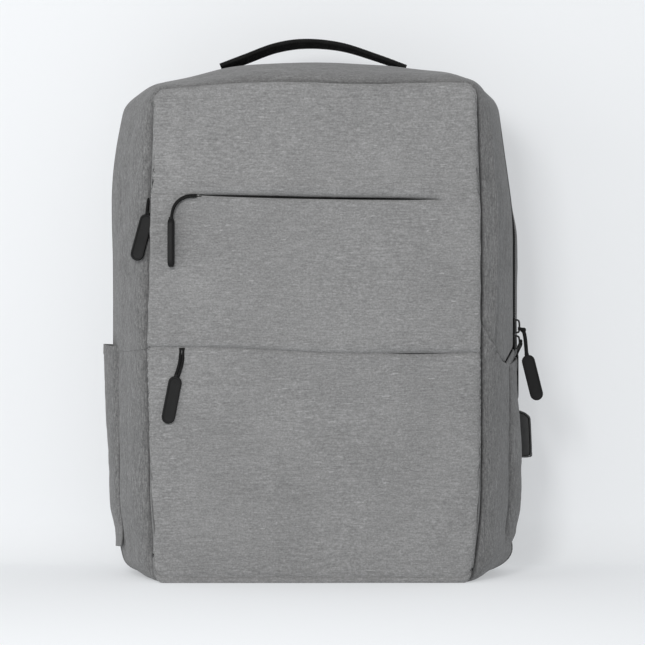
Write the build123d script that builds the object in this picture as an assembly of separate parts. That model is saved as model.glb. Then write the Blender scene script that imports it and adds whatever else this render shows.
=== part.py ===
from build123d import *
import os
from math import atan2, cos, degrees, hypot, radians, sin, tan

# Laptop backpack with a charging port in its side, as separate sewn, moulded and metal pieces.
#
# Millimetres. +Z is up, the front panel faces -Y, the wearer's back is at +Y, and the origin is the
# middle of the flat base. The body is a girth that swells from the front section back to the main
# zip and draws in again to the back panel; every wall is cut from that one girth.

os.makedirs("parts", exist_ok=True)

# ---- driving dimensions -------------------------------------------------------------------------
FRONT_Y = -70.0          # outer face of the front panels
FRONT_BACK_Y = -46.0     # where the front section meets the main body
FOLD_Y = -12.0           # crease in the front gusset
ZIP_Y = 10.0             # middle of the main zip
REAR_Y = 60.0            # inner face of the back panel
BACK_Y = 68.0            # outer face of the back panel
WALL = 3.0               # lined and foam-backed body fabric
PANEL = 2.5              # front panel fabric
LINING = 1.5             # pocket linings
SPLIT_Z = 188.5          # fold line of the main flap, and the lower pocket's zip
UPPER_ZIP_Z = 313.0
SIDE_X = 120.0           # seams between the side pieces and the top and bottom pieces
ZIP_HALF = 4.0           # half width of the main zip's tapes together
FAR = 400.0              # longer than the pack, for cutting boxes

# Right half of the girth at four depths, from the base up: (x, z, corner radius); the last is the
# middle of the top.
GIRTH = {
    FRONT_BACK_Y: [(118, 0, 20), (134, 8, 16), (139, 60, 150), (139, 300, 300), (133, 394, 12),
                   (122, 402, 25), (70, 408, 250), (0, 410, 600)],
    FOLD_Y: [(128, 0, 40), (152, 10, 22), (160.5, 60, 150), (160, 300, 300), (148, 394, 16),
             (131, 406, 35), (78, 420, 250), (0, 424, 600)],
    ZIP_Y: [(132, 0, 55), (158, 12, 26), (167, 60, 150), (167, 300, 300), (154, 394, 18),
            (136, 409, 45), (80, 424, 250), (0, 429, 600)],
    REAR_Y: [(130, 0, 55), (154, 12, 26), (163, 60, 150), (163, 300, 300), (150, 392, 18),
             (133, 406, 40), (80, 420, 250), (0, 424, 600)],
}
# Right half of the front section's outline, in the same order.
FRONT = [(127, 0, 9), (135, 60, 300), (135, 300, 600), (131.5, 399, 10), (0, 409, 900)]

# ---- shape helpers ------------------------------------------------------------------------------


def mirrored(half):
    """Whole outline, anticlockwise from the lower right, from its right half and its top point."""
    return half + [(-x, z, r) for x, z, r in reversed(half[:-1])]


def moved_in(outline, inset):
    """The outline with each side moved inwards by inset, or outwards if it is negative."""
    out = []
    count = len(outline)
    for i, (x, z, r) in enumerate(outline):
        (xa, za, _), (xb, zb, _) = outline[i - 1], outline[(i + 1) % count]
        a, b = atan2(z - za, x - xa), atan2(zb - z, xb - x)
        half_turn = (b - a) / 2
        while half_turn < 0:
            half_turn += radians(180)
        middle = a + half_turn
        reach = inset / cos(half_turn)
        out.append((x - reach * sin(middle), z + reach * cos(middle), max(r - inset, 1.0)))
    return out


def face_at(outline, y):
    """Face in the XZ plane at depth y, with its corners rounded."""
    points = [(x, z) for x, z, _ in outline]
    edge = FilletPolyline(*points, radius=[r for _, _, r in outline], close=True)
    return Plane(origin=(0, y, 0), x_dir=(1, 0, 0), z_dir=(0, -1, 0)) * make_face(edge)


def girth_at(y):
    """Right half of the girth at depth y, between its four stations."""
    stations = sorted(GIRTH)
    y = min(max(y, stations[0]), stations[-1])
    for low, high in zip(stations, stations[1:]):
        if y <= high:
            share = (y - low) / (high - low)
            pairs = zip(GIRTH[low], GIRTH[high])
            return [tuple(p + share * (q - p) for p, q in zip(a, b)) for a, b in pairs]


def girth_solid(y0, y1, inset=0.0):
    """Solid body of the girth from depth y0 to y1, its wall moved in by inset."""
    depths = [y0] + [y for y in sorted(GIRTH) if y0 + 0.01 < y < y1 - 0.01] + [y1]
    faces = [face_at(moved_in(mirrored(girth_at(y)), inset), y) for y in depths]
    return loft(faces, ruled=True)


def girth_band(y0, y1, outer, inner):
    """Hollow band of the girth between two insets."""
    return girth_solid(y0, y1, outer) - girth_solid(y0 - 1, y1 + 1, inner)


def front_solid(y0, y1, inset=0.0):
    """Solid of the front section's outline from depth y0 to y1."""
    return extrude(face_at(moved_in(mirrored(FRONT), inset), y0), -(y1 - y0))


def front_ring(y0, y1, outer, inner):
    """Hollow ring of the front section's outline between two insets."""
    return front_solid(y0, y1, outer) - front_solid(y0 - 1, y1 + 1, inner)


def zone(x0, x1, y0, y1, z0, z1):
    """Box between two corners."""
    return Pos((x0 + x1) / 2, (y0 + y1) / 2, (z0 + z1) / 2) * Box(x1 - x0, y1 - y0, z1 - z0)


def save(shape, node):
    """Writes one node."""
    export_step(Compound(children=list(shape.solids())), f"parts/{node}.step")


def profile_solid(points, radii, y0, y1):
    """Rounded polygon in the XZ plane, extruded from depth y0 to y1."""
    edge = FilletPolyline(*points, radius=radii, close=True)
    return extrude(Plane(origin=(0, y0, 0), x_dir=(1, 0, 0), z_dir=(0, -1, 0)) * make_face(edge), -(y1 - y0))


def side_profile_solid(points, radii, x0, x1):
    """Rounded polygon in the YZ plane, given as (y, z), extruded from x0 to x1."""
    edge = FilletPolyline(*points, radius=radii, close=True)
    return extrude(Plane(origin=(x0, 0, 0), x_dir=(0, 1, 0), z_dir=(1, 0, 0)) * make_face(edge), x1 - x0)


def band_profile(centre, thickness):
    """Closed outline of a band of even thickness that follows the centre points."""
    left, right = [], []
    for i, (a, b) in enumerate(centre):
        before, after = centre[max(i - 1, 0)], centre[min(i + 1, len(centre) - 1)]
        da, db = after[0] - before[0], after[1] - before[1]
        length = hypot(da, db)
        na, nb = -db / length * thickness / 2, da / length * thickness / 2
        left.append((a + na, b + nb))
        right.append((a - na, b - nb))
    return left + right[::-1]


def tube(points, radius):
    """Round cord along straight runs joined by arcs as large as the runs allow."""
    route = [Vector(*p) for p in points]
    bends = []
    for a, b, c in zip(route, route[1:], route[2:]):
        turn = radians((b - a).get_angle(c - b))
        bends.append(0.45 * min((b - a).length, (c - b).length) / tan(turn / 2))
    path = FilletPolyline(*points, radius=bends)
    section = Plane(origin=route[0], z_dir=route[1] - route[0]) * Circle(radius)
    return sweep(section, path=path)


# ---- front section: two zipped pockets in a thin raised box ---------------------------------------
FRONT_TOP_Z = 412.0
BEVEL = 3.0              # rounding of the front panels' edge
SLIT_HALF = 2.0          # half height of a pocket's zip opening
UPPER_SLIT_X = (-104.0, 104.0)
LOWER_SLIT_X = (-118.0, 118.0)
LINING_Y = -57.0         # back wall of the two front pockets
RIM_Y = FRONT_Y + PANEL  # inner face of the front panels
BORDER = 2.0             # side walls of the front section
SLOT_Z = (205.0, 330.0)  # hidden side zip, in the groove on the left
SLOT_Y = (-54.0, -49.0)
GAP = 0.4                # clearance between the flap and the rest of the shell


def front_plate():
    """The whole front face, with its edge bevelled, before it is cut into panels."""
    faces = [face_at(moved_in(mirrored(FRONT), BEVEL), FRONT_Y), face_at(mirrored(FRONT), RIM_Y)]
    return loft(faces, ruled=True)


def slit(x_range, z):
    """The gap in the front plate that a pocket zip closes."""
    return zone(*x_range, FRONT_Y - 1, RIM_Y + 1, z - SLIT_HALF, z + SLIT_HALF)


def make_front_section():
    plate = front_plate()
    upper_slit = slit(UPPER_SLIT_X, UPPER_ZIP_Z)
    lower_slit = zone(*LOWER_SLIT_X, FRONT_Y - 1, RIM_Y + 1, SPLIT_Z - 3.5, SPLIT_Z)
    upper = plate & zone(-FAR, FAR, -FAR, FAR, UPPER_ZIP_Z, FAR + FAR)
    middle = plate & zone(-FAR, FAR, -FAR, FAR, SPLIT_Z + GAP, UPPER_ZIP_Z)
    lower = plate & zone(-FAR, FAR, -FAR, FAR, -FAR, SPLIT_Z)
    save(upper - upper_slit, "front_panel_upper")
    save(middle - upper_slit, "front_panel_middle")
    save(lower - lower_slit, "front_panel_lower")

    border = front_ring(RIM_Y, FRONT_BACK_Y, 0, BORDER)
    tray = border + front_solid(FRONT_BACK_Y - LINING, FRONT_BACK_Y, BORDER - 0.5)
    slot = zone(-FAR, -SIDE_X, *SLOT_Y, *SLOT_Z)
    above = zone(-FAR, FAR, -FAR, FAR, SPLIT_Z + GAP, FAR + FAR)
    below = zone(-FAR, FAR, -FAR, FAR, -FAR, SPLIT_Z)
    base = zone(-SIDE_X, SIDE_X, -FAR, FAR, -FAR, 30) & front_ring(RIM_Y, FRONT_BACK_Y, 0, WALL)
    save((tray & above) - slot, "front_section_upper")
    save((tray & below) - base, "front_section_lower")

    inside = front_solid(LINING_Y, LINING_Y + LINING, BORDER)
    save(inside & zone(-FAR, FAR, -FAR, FAR, SPLIT_Z + GAP, UPPER_ZIP_Z + 8), "upper_pocket_lining")
    save((inside & below) - base, "lower_pocket_lining")


# ---- main body ----------------------------------------------------------------------------------
TAPE_OUTER, TAPE_INNER = 0.6, 2.2    # insets of the zip tape's two faces
TEETH_OUTER = -0.5                   # the zip teeth stand a little proud
TEETH_HALF = 1.6
ZIP_END_Z = 181.0                    # the main zip's lower ends
SOLE_X = 105.0                       # half width of the flat middle of the base


def make_main_body():
    left = zone(-FAR, -SIDE_X, -FAR, FAR, -FAR, FAR + FAR)
    right = zone(SIDE_X, FAR, -FAR, FAR, -FAR, FAR + FAR)
    across = zone(-SIDE_X, SIDE_X, -FAR, FAR, -FAR, FAR + FAR)
    above = zone(-FAR, FAR, -FAR, FAR, SPLIT_Z + GAP, FAR + FAR)
    below = zone(-FAR, FAR, -FAR, FAR, -FAR, SPLIT_Z)
    top = zone(-FAR, FAR, -FAR, FAR, 300, FAR + FAR)
    base = zone(-FAR, FAR, -FAR, FAR, -FAR, 30)

    shell = girth_band(FRONT_BACK_Y, REAR_Y, 0, WALL)
    front = zone(-FAR, FAR, -FAR, ZIP_Y - ZIP_HALF, -FAR, FAR + FAR)
    rear = zone(-FAR, FAR, ZIP_Y + ZIP_HALF, FAR, -FAR, FAR + FAR)
    under_zip = zone(-FAR, FAR, ZIP_Y - ZIP_HALF, FAR, -FAR, ZIP_END_Z)
    for side, strip in (("left", left), ("right", right)):
        piece = shell & strip
        save(piece & front & above, f"front_gusset_{side}")
        save(piece & front & below, f"front_gusset_lower_{side}")
        save((piece & rear) + (piece & under_zip), f"rear_gusset_{side}")
    save(shell & front & above & across, "front_gusset_top")
    save(shell & rear & top & across, "rear_gusset_top")

    shallow = front_ring(RIM_Y, FRONT_BACK_Y, 0, WALL)
    flat = zone(-SOLE_X, SOLE_X, FRONT_BACK_Y - 1, REAR_Y, 0, WALL)
    edges = (shell & base & across) - zone(-SOLE_X, SOLE_X, -FAR, FAR, -FAR, FAR)
    save(flat + edges + (shallow & base & across), "bottom_panel")

    ends = zone(-FAR, FAR, -FAR, FAR, ZIP_END_Z, FAR + FAR)
    for node, clip, near, edge, far in (("main_zip_front_tape", above, -0.3, -TEETH_HALF, -ZIP_HALF),
                                        ("main_zip_rear_tape", ends, 0.3, TEETH_HALF, ZIP_HALF)):
        y_near, y_edge, y_far = ZIP_Y + near, ZIP_Y + edge, ZIP_Y + far
        tape = girth_band(min(y_near, y_far), max(y_near, y_far), TAPE_OUTER, TAPE_INNER) & clip
        teeth = girth_band(min(y_near, y_edge), max(y_near, y_edge), TEETH_OUTER, TAPE_OUTER) & clip
        save(Compound(children=[*tape.solids(), *teeth.solids()]), node)

    save(girth_solid(REAR_Y, BACK_Y), "back_panel")


# ---- pocket zips ----------------------------------------------------------------------------------
COIL_Y = (-68.8, -67.5)
TAPE_Y = (-67.5, -66.6)


def make_pocket_zips():
    x0, x1 = UPPER_SLIT_X
    tape = zone(x0 - 4, x1 + 4, *TAPE_Y, UPPER_ZIP_Z - 8, UPPER_ZIP_Z + 8)
    coil = zone(x0 + 1, x1 - 1, *COIL_Y, UPPER_ZIP_Z - 1.2, UPPER_ZIP_Z + 1.2)
    save(tape + coil, "upper_zip_tape")
    x0, x1 = LOWER_SLIT_X
    middle = SPLIT_Z - 1.75
    tape = zone(x0 - 4, x1 + 4, *TAPE_Y, middle - 8, SPLIT_Z - 0.2)
    coil = zone(x0 + 1, x1 - 1, *COIL_Y, middle - 1.2, middle + 1.2)
    save(tape + coil, "lower_zip_tape")
    y0, y1 = SLOT_Y
    z0, z1 = SLOT_Z
    tape = front_ring(y0 - 1.4, y1 + 1.4, BORDER + 0.1, BORDER + 1.1) & zone(-FAR, -SIDE_X, -FAR, FAR, z0 - 5, z1 + 5)
    coil = front_ring(y0 + 1.3, y1 - 1.3, BORDER - 0.9, BORDER + 0.1) & zone(-FAR, -SIDE_X, -FAR, FAR, z0 + 1, z1 - 1)
    save(tape + coil, "side_zip_tape")


# ---- zip sliders and their pulls ------------------------------------------------------------------
TAB_LENGTH, TAB_WIDTH, TAB_THICK = 39.0, 11.0, 4.4
CORD_R = 1.1
STRAND_GAP = 2.3         # between the two strands of a pull cord


def pull_tab(top, lean, twist=0.0, facing=0.0):
    """Moulded tab hanging from top: lean tilts its lower end towards +X, twist turns it on its length."""
    half = TAB_LENGTH / 2
    body = Pos(0, 0, -half) * Rot(90, 0, 0) * extrude(SlotOverall(TAB_LENGTH, TAB_WIDTH, rotation=90),
                                                       TAB_THICK / 2, both=True)
    body = chamfer(body.edges(), 0.6)
    return Pos(*top) * Rot(0, 0, facing) * Rot(0, -lean, 0) * Rot(0, 0, twist) * body


def cord_pair(points, across):
    """Two strands of a pull cord side by side, offset along the across direction."""
    offset = Vector(*across).normalized() * (STRAND_GAP / 2)
    strands = []
    for sign in (-1, 1):
        strands.append(tube([tuple(Vector(*p) + offset * sign) for p in points], CORD_R))
    return Compound(children=[s for strand in strands for s in strand.solids()])


def make_upper_pull():
    x, z = UPPER_SLIT_X[0] + 11, UPPER_ZIP_Z
    slider = zone(x - 5, x + 5, -70.6, -69.0, z - 1.7, z + 1.7)
    save(slider, "upper_zip_slider")
    route = [(x - 1, -73.1, z + 0.4), (x - 10, -73.2, z + 0.2), (x - 17, -74.0, z - 4.5),
             (x - 20.6, -75.5, z - 12), (x - 21.4, -75.8, z - 18)]
    save(cord_pair(route, (0, 1, 0)), "upper_pull_cord")
    save(pull_tab((x - 21.6, -76.3, z - 18.2), 0, twist=70), "upper_pull_tab")


def make_lower_pull():
    x, z = -106.0, SPLIT_Z - 1.75
    slider = zone(x - 5, x + 5, -70.6, -69.0, z - 1.6, z + 1.6)
    save(slider, "lower_zip_slider")
    route = [(x, -71.9, z + 0.6), (x - 0.2, -72.5, z - 6), (x - 1.6, -72.9, z - 12), (x - 4.2, -73.0, z - 18.6)]
    save(cord_pair(route, (1, 0, 0)), "lower_pull_cord")
    save(pull_tab((x - 4.6, -73.0, z - 19.2), -11), "lower_pull_tab")


def make_side_pull():
    x, y, z = -136.4, -52.0, 311.0
    save(zone(x - 0.8, x + 0.8, y - 1.1, y + 1.1, z - 5, z + 5), "side_zip_slider")
    route = [(x - 2.1, y - 0.4, z + 2), (x - 2.3, y - 2.4, z - 3), (x - 3.2, y - 4.0, z - 8)]
    save(cord_pair(route, (0, 1, 0.1)), "side_pull_cord")
    save(pull_tab((x - 4.0, y - 4.2, z - 8.4), -9, twist=0), "side_pull_tab")


MAIN_X = 167.9           # just outside the zip teeth, where the girth is straight


def main_slider(z):
    """Metal slider with its bridge, standing on the main zip at height z."""
    plate = zone(MAIN_X, MAIN_X + 1.8, ZIP_Y - 4, ZIP_Y + 4, z - 6.2, z + 6.2)
    bridge_points = [(MAIN_X + 1.8, z - 5), (MAIN_X + 5.2, z - 3.5), (MAIN_X + 5.2, z + 3.5), (MAIN_X + 1.8, z + 5)]
    opening = [(MAIN_X + 1.5, z - 3.2), (MAIN_X + 3.9, z - 2.3), (MAIN_X + 3.9, z + 2.3), (MAIN_X + 1.5, z + 3.2)]
    bridge = profile_solid(bridge_points, [0.0, 1.6, 1.6, 0.0], ZIP_Y - 1.2, ZIP_Y + 1.2)
    return plate + (bridge - profile_solid(opening, [0.0, 0.8, 0.8, 0.0], ZIP_Y - 2, ZIP_Y + 2))


def make_main_pulls():
    upper, lower = 208.0, 194.5
    save(main_slider(upper), "main_upper_slider")
    save(main_slider(lower), "main_lower_slider")
    x = MAIN_X + 6.5
    route = [(x, ZIP_Y, upper - 1), (x + 2.6, ZIP_Y - 0.6, upper - 5), (x + 3.9, ZIP_Y - 1.2, upper - 14),
             (x + 4.5, ZIP_Y - 1.6, upper - 24)]
    save(cord_pair(route, (0, 1, 0)), "main_upper_pull_cord")
    save(pull_tab((x + 4.7, ZIP_Y - 1.7, upper - 24.3), 14), "main_upper_pull_tab")
    route = [(x, ZIP_Y + 1.5, lower), (x - 1.0, ZIP_Y + 10, lower - 1.5), (x - 3.0, ZIP_Y + 20, lower - 4.0),
             (x - 4.6, ZIP_Y + 28, lower - 8.0)]
    save(cord_pair(route, (0, 0.3, 1)), "main_lower_pull_cord")
    save(pull_tab((x - 4.9, ZIP_Y + 32, lower - 9.5), 0, facing=90), "main_lower_pull_tab")


# ---- side pockets ---------------------------------------------------------------------------------
POCKET_Y = (-13.0, 34.0)
POCKET_OUT = 6.6         # how far a pocket stands off the side
POCKET_WALL = 1.4
POCKET_FLOOR = 24.0
HEM = {"left": 193.0, "right": 183.0}


def make_side_pockets():
    """Each pocket is an outer panel between two narrow pleats, sewn down at the front and rear."""
    y0, y1 = POCKET_Y
    outer = girth_solid(y0, y1, -POCKET_OUT)
    hollow = girth_solid(y0 + POCKET_WALL, y1 - POCKET_WALL, POCKET_WALL - POCKET_OUT)
    body = girth_solid(y0 - 1, y1 + 1, -0.05)
    for side, x0, x1 in (("left", -FAR, -150), ("right", 150, FAR)):
        space = hollow & zone(x0, x1, -FAR, FAR, POCKET_FLOOR + POCKET_WALL, HEM[side] + 1)
        pocket = (outer & zone(x0, x1, -FAR, FAR, POCKET_FLOOR, HEM[side])) - space - body
        pleats = [(y0 - 1, y0 + POCKET_WALL), (y0 + POCKET_WALL, y1 - POCKET_WALL), (y1 - POCKET_WALL, y1 + 1)]
        pieces = [pocket & zone(x0, x1, a, b, 0, FAR) for a, b in pleats]
        save(Compound(children=[s for piece in pieces for s in piece.solids()]), f"side_pocket_{side}")


# ---- top handle -----------------------------------------------------------------------------------
HANDLE_Y = (44.5, 66.5)
HANDLE_PIVOT_Z = 429.0
HANDLE_THICK = 5.6
HANDLE_ROUTE = [(-79, 428.5), (-58, 436.5), (-32, 446.0), (-6, 449.6), (24, 446.8), (54, 437.6), (79, 428.5)]


def make_handle():
    outline = band_profile(HANDLE_ROUTE, HANDLE_THICK)
    radii = [2.0] + [40.0] * 5 + [2.0, 2.0] + [40.0] * 5 + [2.0]
    save(profile_solid(outline, radii, *HANDLE_Y), "top_handle")
    top = girth_solid(40, 70, -0.05)
    patches = [zone(s * 78 - 13, s * 78 + 13, 42, 69, 405, 422.4) - top for s in (-1, 1)]
    save(Compound(children=[s for p in patches for s in p.solids()]), "handle_patches")


# ---- back: pads, straps, luggage sleeve -------------------------------------------------------------
STRAP_X, STRAP_WIDTH, STRAP_THICK = 52.0, 66.0, 11.0
STRAP_TOP = (74.0, 396.0)
STRAP_ROUTE = [(71.5, 391), (90, 400), (106, 386), (114, 340), (114, 280), (109, 215), (100, 150)]
STRAP_SPLAY = 7.0
WEB_WIDTH, WEB_THICK = 24.0, 1.6


def make_back():
    pads = []
    for side in (-1, 1):
        pad = side_profile_solid([(BACK_Y, 128), (BACK_Y + 7, 136), (BACK_Y + 7, 342), (BACK_Y, 350)],
                                 [1.0, 3.0, 3.0, 1.0], 12, 118)
        pads.append(pad if side == 1 else mirror(pad, Plane.YZ))
    lumbar = side_profile_solid([(BACK_Y, 44), (BACK_Y + 7, 52), (BACK_Y + 7, 108), (BACK_Y, 116)],
                                [1.0, 3.0, 3.0, 1.0], -118, 118)
    save(Compound(children=[s for pad in (*pads, lumbar) for s in pad.solids()]), "back_pads")
    sleeve_points = [(-134, BACK_Y + 0.1), (-126, BACK_Y + 0.1), (-116, 84.5), (116, 84.5), (126, BACK_Y + 0.1),
                     (134, BACK_Y + 0.1), (134, BACK_Y + 1.9), (127, BACK_Y + 1.9), (117, 86.3), (-117, 86.3),
                     (-127, BACK_Y + 1.9), (-134, BACK_Y + 1.9)]
    outline = make_face(Polyline(*sleeve_points, close=True))
    save(extrude(Plane(origin=(0, 0, 205)) * outline, 70), "luggage_strap")


def make_straps():
    for side, sign in (("left", -1), ("right", 1)):
        turn = Pos(sign * STRAP_X, 0, STRAP_TOP[1]) * Rot(0, -sign * STRAP_SPLAY, 0) * Pos(0, 0, -STRAP_TOP[1])
        half = STRAP_WIDTH / 2
        radii = [3.0, 8.0, 12.0, 40.0, 60.0, 60.0, 3.0, 3.0, 60.0, 60.0, 40.0, 6.0, 3.0, 3.0]
        strap = side_profile_solid(band_profile(STRAP_ROUTE, STRAP_THICK), radii, -half, half)
        save(turn * strap, f"shoulder_strap_{side}")
        lock_route = [(100.5, 147.5), (97.5, 124)]
        upper_web = side_profile_solid(band_profile(lock_route, WEB_THICK), [0.4] * 4, -WEB_WIDTH / 2, WEB_WIDTH / 2)
        frame = zone(-16, 16, 94.5, 100.5, 96, 122)
        windows = zone(-12.6, 12.6, 90, 105, 111, 118.6) + zone(-12.6, 12.6, 90, 105, 99.5, 107)
        save(turn * (frame - windows), f"ladder_lock_{side}")
        lower = [(94.0, 101.5), (84, 66), (72.6, 22)]
        web = side_profile_solid(band_profile(lower, WEB_THICK), [0.4, 40.0, 0.4, 0.4, 40.0, 0.4],
                                 -WEB_WIDTH / 2, WEB_WIDTH / 2)
        save(turn * Compound(children=[*upper_web.solids(), *web.solids()]), f"strap_webbing_{side}")
        tail = side_profile_solid(band_profile([(102.6, 99.5), (104.8, 60), (103.2, 16)], WEB_THICK),
                                  [0.4, 60.0, 0.4, 0.4, 60.0, 0.4], -WEB_WIDTH / 2, WEB_WIDTH / 2)
        save(turn * tail, f"webbing_tail_{side}")
    anchors = []
    for sign in (-1, 1):
        x = sign * (STRAP_X + (STRAP_TOP[1] - 20) * tan(radians(STRAP_SPLAY)))
        anchors.append(profile_solid([(x - 16, 8), (x + 16, 8), (x + 12.5, 32), (x - 12.5, 32)], [2.0] * 4,
                                     BACK_Y + 0.1, BACK_Y + 3.0))
    save(Compound(children=[s for a in anchors for s in a.solids()]), "strap_anchors")


# ---- inside: laptop divider and power bank pocket ---------------------------------------------------
DIVIDER_Y = (34.0, 37.0)
BANK_X = (30.0, 116.0)
BANK_Y = (16.0, 34.0)
BANK_Z = (24.0, 128.0)


def make_inside():
    divider = girth_solid(*DIVIDER_Y, 6) & zone(-149, 149, -FAR, FAR, WALL + 2.4, 345)
    save(divider, "laptop_divider")
    x0, x1 = BANK_X
    y0, y1 = BANK_Y
    z0, z1 = BANK_Z
    pouch = zone(x0, x1, y0, y1 - 0.1, z0, z1) - zone(x0 + LINING, x1 - LINING, y0 + LINING, FAR, z0 + LINING, FAR)
    save(pouch, "power_bank_pocket")


# ---- charging port ----------------------------------------------------------------------------------
PORT_Y = (38.0, 58.0)
PORT_X = 186.0
PORT_Z = (96.6, 139.0)
SOCKET_X = 175.5         # middle of the socket in the port's underside
SOCKET = (5.7, 13.2)     # outside of the metal socket shell, X by Y
SOCKET_DEPTH = 14.0


def make_port():
    z0, z1 = PORT_Z
    y0, y1 = PORT_Y
    middle = (y0 + y1) / 2
    outline = [(160, z0), (PORT_X, z0), (PORT_X - 1.6, z1 - 8), (PORT_X - 6, z1 - 4.5), (160, z1 + 2.5)]
    block = profile_solid(outline, [0.5, 2.0, 4.0, 4.0, 0.5], y0, y1)
    half_x, half_y = SOCKET[0] / 2, SOCKET[1] / 2
    cavity = zone(SOCKET_X - half_x, SOCKET_X + half_x, middle - half_y, middle + half_y, z0 - 1, z0 + SOCKET_DEPTH)
    save(block - girth_solid(y0 - 1, y1 + 1, -0.05) - cavity, "port_housing")
    skin = 0.35
    shell = zone(SOCKET_X - half_x, SOCKET_X + half_x, middle - half_y, middle + half_y, z0, z0 + SOCKET_DEPTH)
    shell -= zone(SOCKET_X - half_x + skin, SOCKET_X + half_x - skin, middle - half_y + skin,
                  middle + half_y - skin, z0 - 1, z0 + SOCKET_DEPTH - skin)
    save(shell, "port_socket")
    plate = zone(157.2, 160.0, y0 + 1, y1 - 1, 98, 118)
    save(plate, "port_clamp_plate")


make_front_section()
make_main_body()
make_pocket_zips()
make_upper_pull()
make_lower_pull()
make_side_pull()
make_main_pulls()
make_side_pockets()
make_handle()
make_back()
make_straps()
make_inside()
make_port()
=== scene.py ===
import bpy
import bmesh
import math
from mathutils import Matrix, Vector, kdtree, noise


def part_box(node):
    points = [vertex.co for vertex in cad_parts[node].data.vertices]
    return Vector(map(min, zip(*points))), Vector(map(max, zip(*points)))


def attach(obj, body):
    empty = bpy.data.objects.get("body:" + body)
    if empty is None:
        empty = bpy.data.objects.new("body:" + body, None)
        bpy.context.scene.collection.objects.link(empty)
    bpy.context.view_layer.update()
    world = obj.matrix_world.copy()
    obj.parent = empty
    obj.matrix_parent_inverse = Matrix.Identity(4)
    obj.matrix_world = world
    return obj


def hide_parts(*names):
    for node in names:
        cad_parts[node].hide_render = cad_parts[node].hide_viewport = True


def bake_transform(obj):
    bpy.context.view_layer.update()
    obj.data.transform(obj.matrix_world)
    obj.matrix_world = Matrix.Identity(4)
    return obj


# Laptop backpack: soft goods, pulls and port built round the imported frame. Shapes are worked out in
# millimetres in the frame's own axes (+Z up, front at -Y) and turned into metres when a mesh is made.

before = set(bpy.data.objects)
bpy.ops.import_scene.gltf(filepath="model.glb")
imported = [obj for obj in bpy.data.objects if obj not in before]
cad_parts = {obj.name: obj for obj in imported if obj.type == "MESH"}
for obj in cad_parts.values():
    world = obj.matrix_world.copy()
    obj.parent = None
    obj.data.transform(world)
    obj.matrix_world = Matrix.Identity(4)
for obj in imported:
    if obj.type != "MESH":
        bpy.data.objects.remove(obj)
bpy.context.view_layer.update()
MM = 0.001


def box_mm(node):
    """Lowest and highest corner of a CAD node, in millimetres."""
    return [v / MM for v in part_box(node)]


# ---- driving sizes, from the frame ----------------------------------------------------------------
panel_lo, panel_hi = box_mm("front_panel_lower")
back_lo, back_hi = box_mm("back_panel")
FRONT_Y = panel_lo.y
SPLIT_Z = panel_hi.z
RIM_Y = panel_hi.y
FRONT_BACK_Y = box_mm("front_section_lower")[1].y
REAR_Y, BACK_Y = back_lo.y, back_hi.y
ZIP_FRONT_Y = box_mm("front_gusset_top")[1].y
ZIP_REAR_Y = box_mm("rear_gusset_top")[0].y
ZIP_Y = (ZIP_FRONT_Y + ZIP_REAR_Y) / 2
UPPER_ZIP_Z = box_mm("front_panel_middle")[1].z
FOLD_Y = -12.0
POCKET_Y = (-13.0, 34.0)     # depths of the side pockets' front and rear seams
POCKET_LOW = 24.0
POCKET_HEMS = {side: box_mm(f"side_pocket_{side}")[1].z for side in ("left", "right")}

# Right half of the body's outline at four depths, as in the CAD: (x, z, corner radius).
GIRTH = {
    FRONT_BACK_Y: [(118, 0, 20), (134, 8, 16), (139, 60, 150), (139, 300, 300), (133, 394, 12),
                   (122, 402, 25), (70, 408, 250), (0, 410, 600)],
    FOLD_Y: [(128, 0, 40), (152, 10, 22), (160.5, 60, 150), (160, 300, 300), (148, 394, 16),
             (131, 406, 35), (78, 420, 250), (0, 424, 600)],
    ZIP_Y: [(132, 0, 55), (158, 12, 26), (167, 60, 150), (167, 300, 300), (154, 394, 18),
            (136, 409, 45), (80, 424, 250), (0, 429, 600)],
    REAR_Y: [(130, 0, 55), (154, 12, 26), (163, 60, 150), (163, 300, 300), (150, 392, 18),
             (133, 406, 40), (80, 420, 250), (0, 424, 600)],
}
FRONT = [(127, 0, 9), (135, 60, 300), (135, 300, 600), (131.5, 399, 10), (0, 409, 900)]
LOOP = 720               # points kept round each outline
OUTLINE = 1400           # rough length round an outline, turning shares into millimetres
CLOTH = 1.4              # thickness of the main cloth, on the outer side of its drawn surface
GUSSET_WIDTH, PLEAT_WIDTH = 60.0, 62.0   # across the front gusset's cloth, flat and along its pleats
REAR_WIDTH = 46.0        # across the rear gusset


def mirrored(half):
    """Whole outline from its right half."""
    return half + [(-x, z, r) for x, z, r in reversed(half[:-1])]


def rounded(corners):
    """Points along a polygon's sides and corner arcs, from the bottom middle round and back to it."""
    out = [Vector((0, corners[0][1]))]
    count = len(corners)
    for i, (x, z, r) in enumerate(corners):
        p = Vector((x, z))
        a = (Vector(corners[i - 1][:2]) - p).normalized()
        b = (Vector(corners[(i + 1) % count][:2]) - p).normalized()
        half = a.angle(b) / 2
        centre = p + (a + b).normalized() * r / math.sin(half)
        start, end = p + a * r / math.tan(half) - centre, p + b * r / math.tan(half) - centre
        turn = start.angle(end)
        steps = max(3, int(turn * r / 1.5))
        for j in range(steps + 1):
            s = j / steps
            w = (start * math.sin((1 - s) * turn) + end * math.sin(s * turn)) / math.sin(turn)
            out.append(centre + w)
    out.append(out[0].copy())
    return out


def even(points, count):
    """The same line as count equal steps."""
    lengths = [0.0]
    for a, b in zip(points, points[1:]):
        lengths.append(lengths[-1] + (b - a).length)
    out, i = [], 0
    for k in range(count + 1):
        want = lengths[-1] * k / count
        while i < len(points) - 2 and lengths[i + 1] < want:
            i += 1
        span = lengths[i + 1] - lengths[i]
        out.append(points[i].lerp(points[i + 1], (want - lengths[i]) / span if span else 0))
    return out


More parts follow.
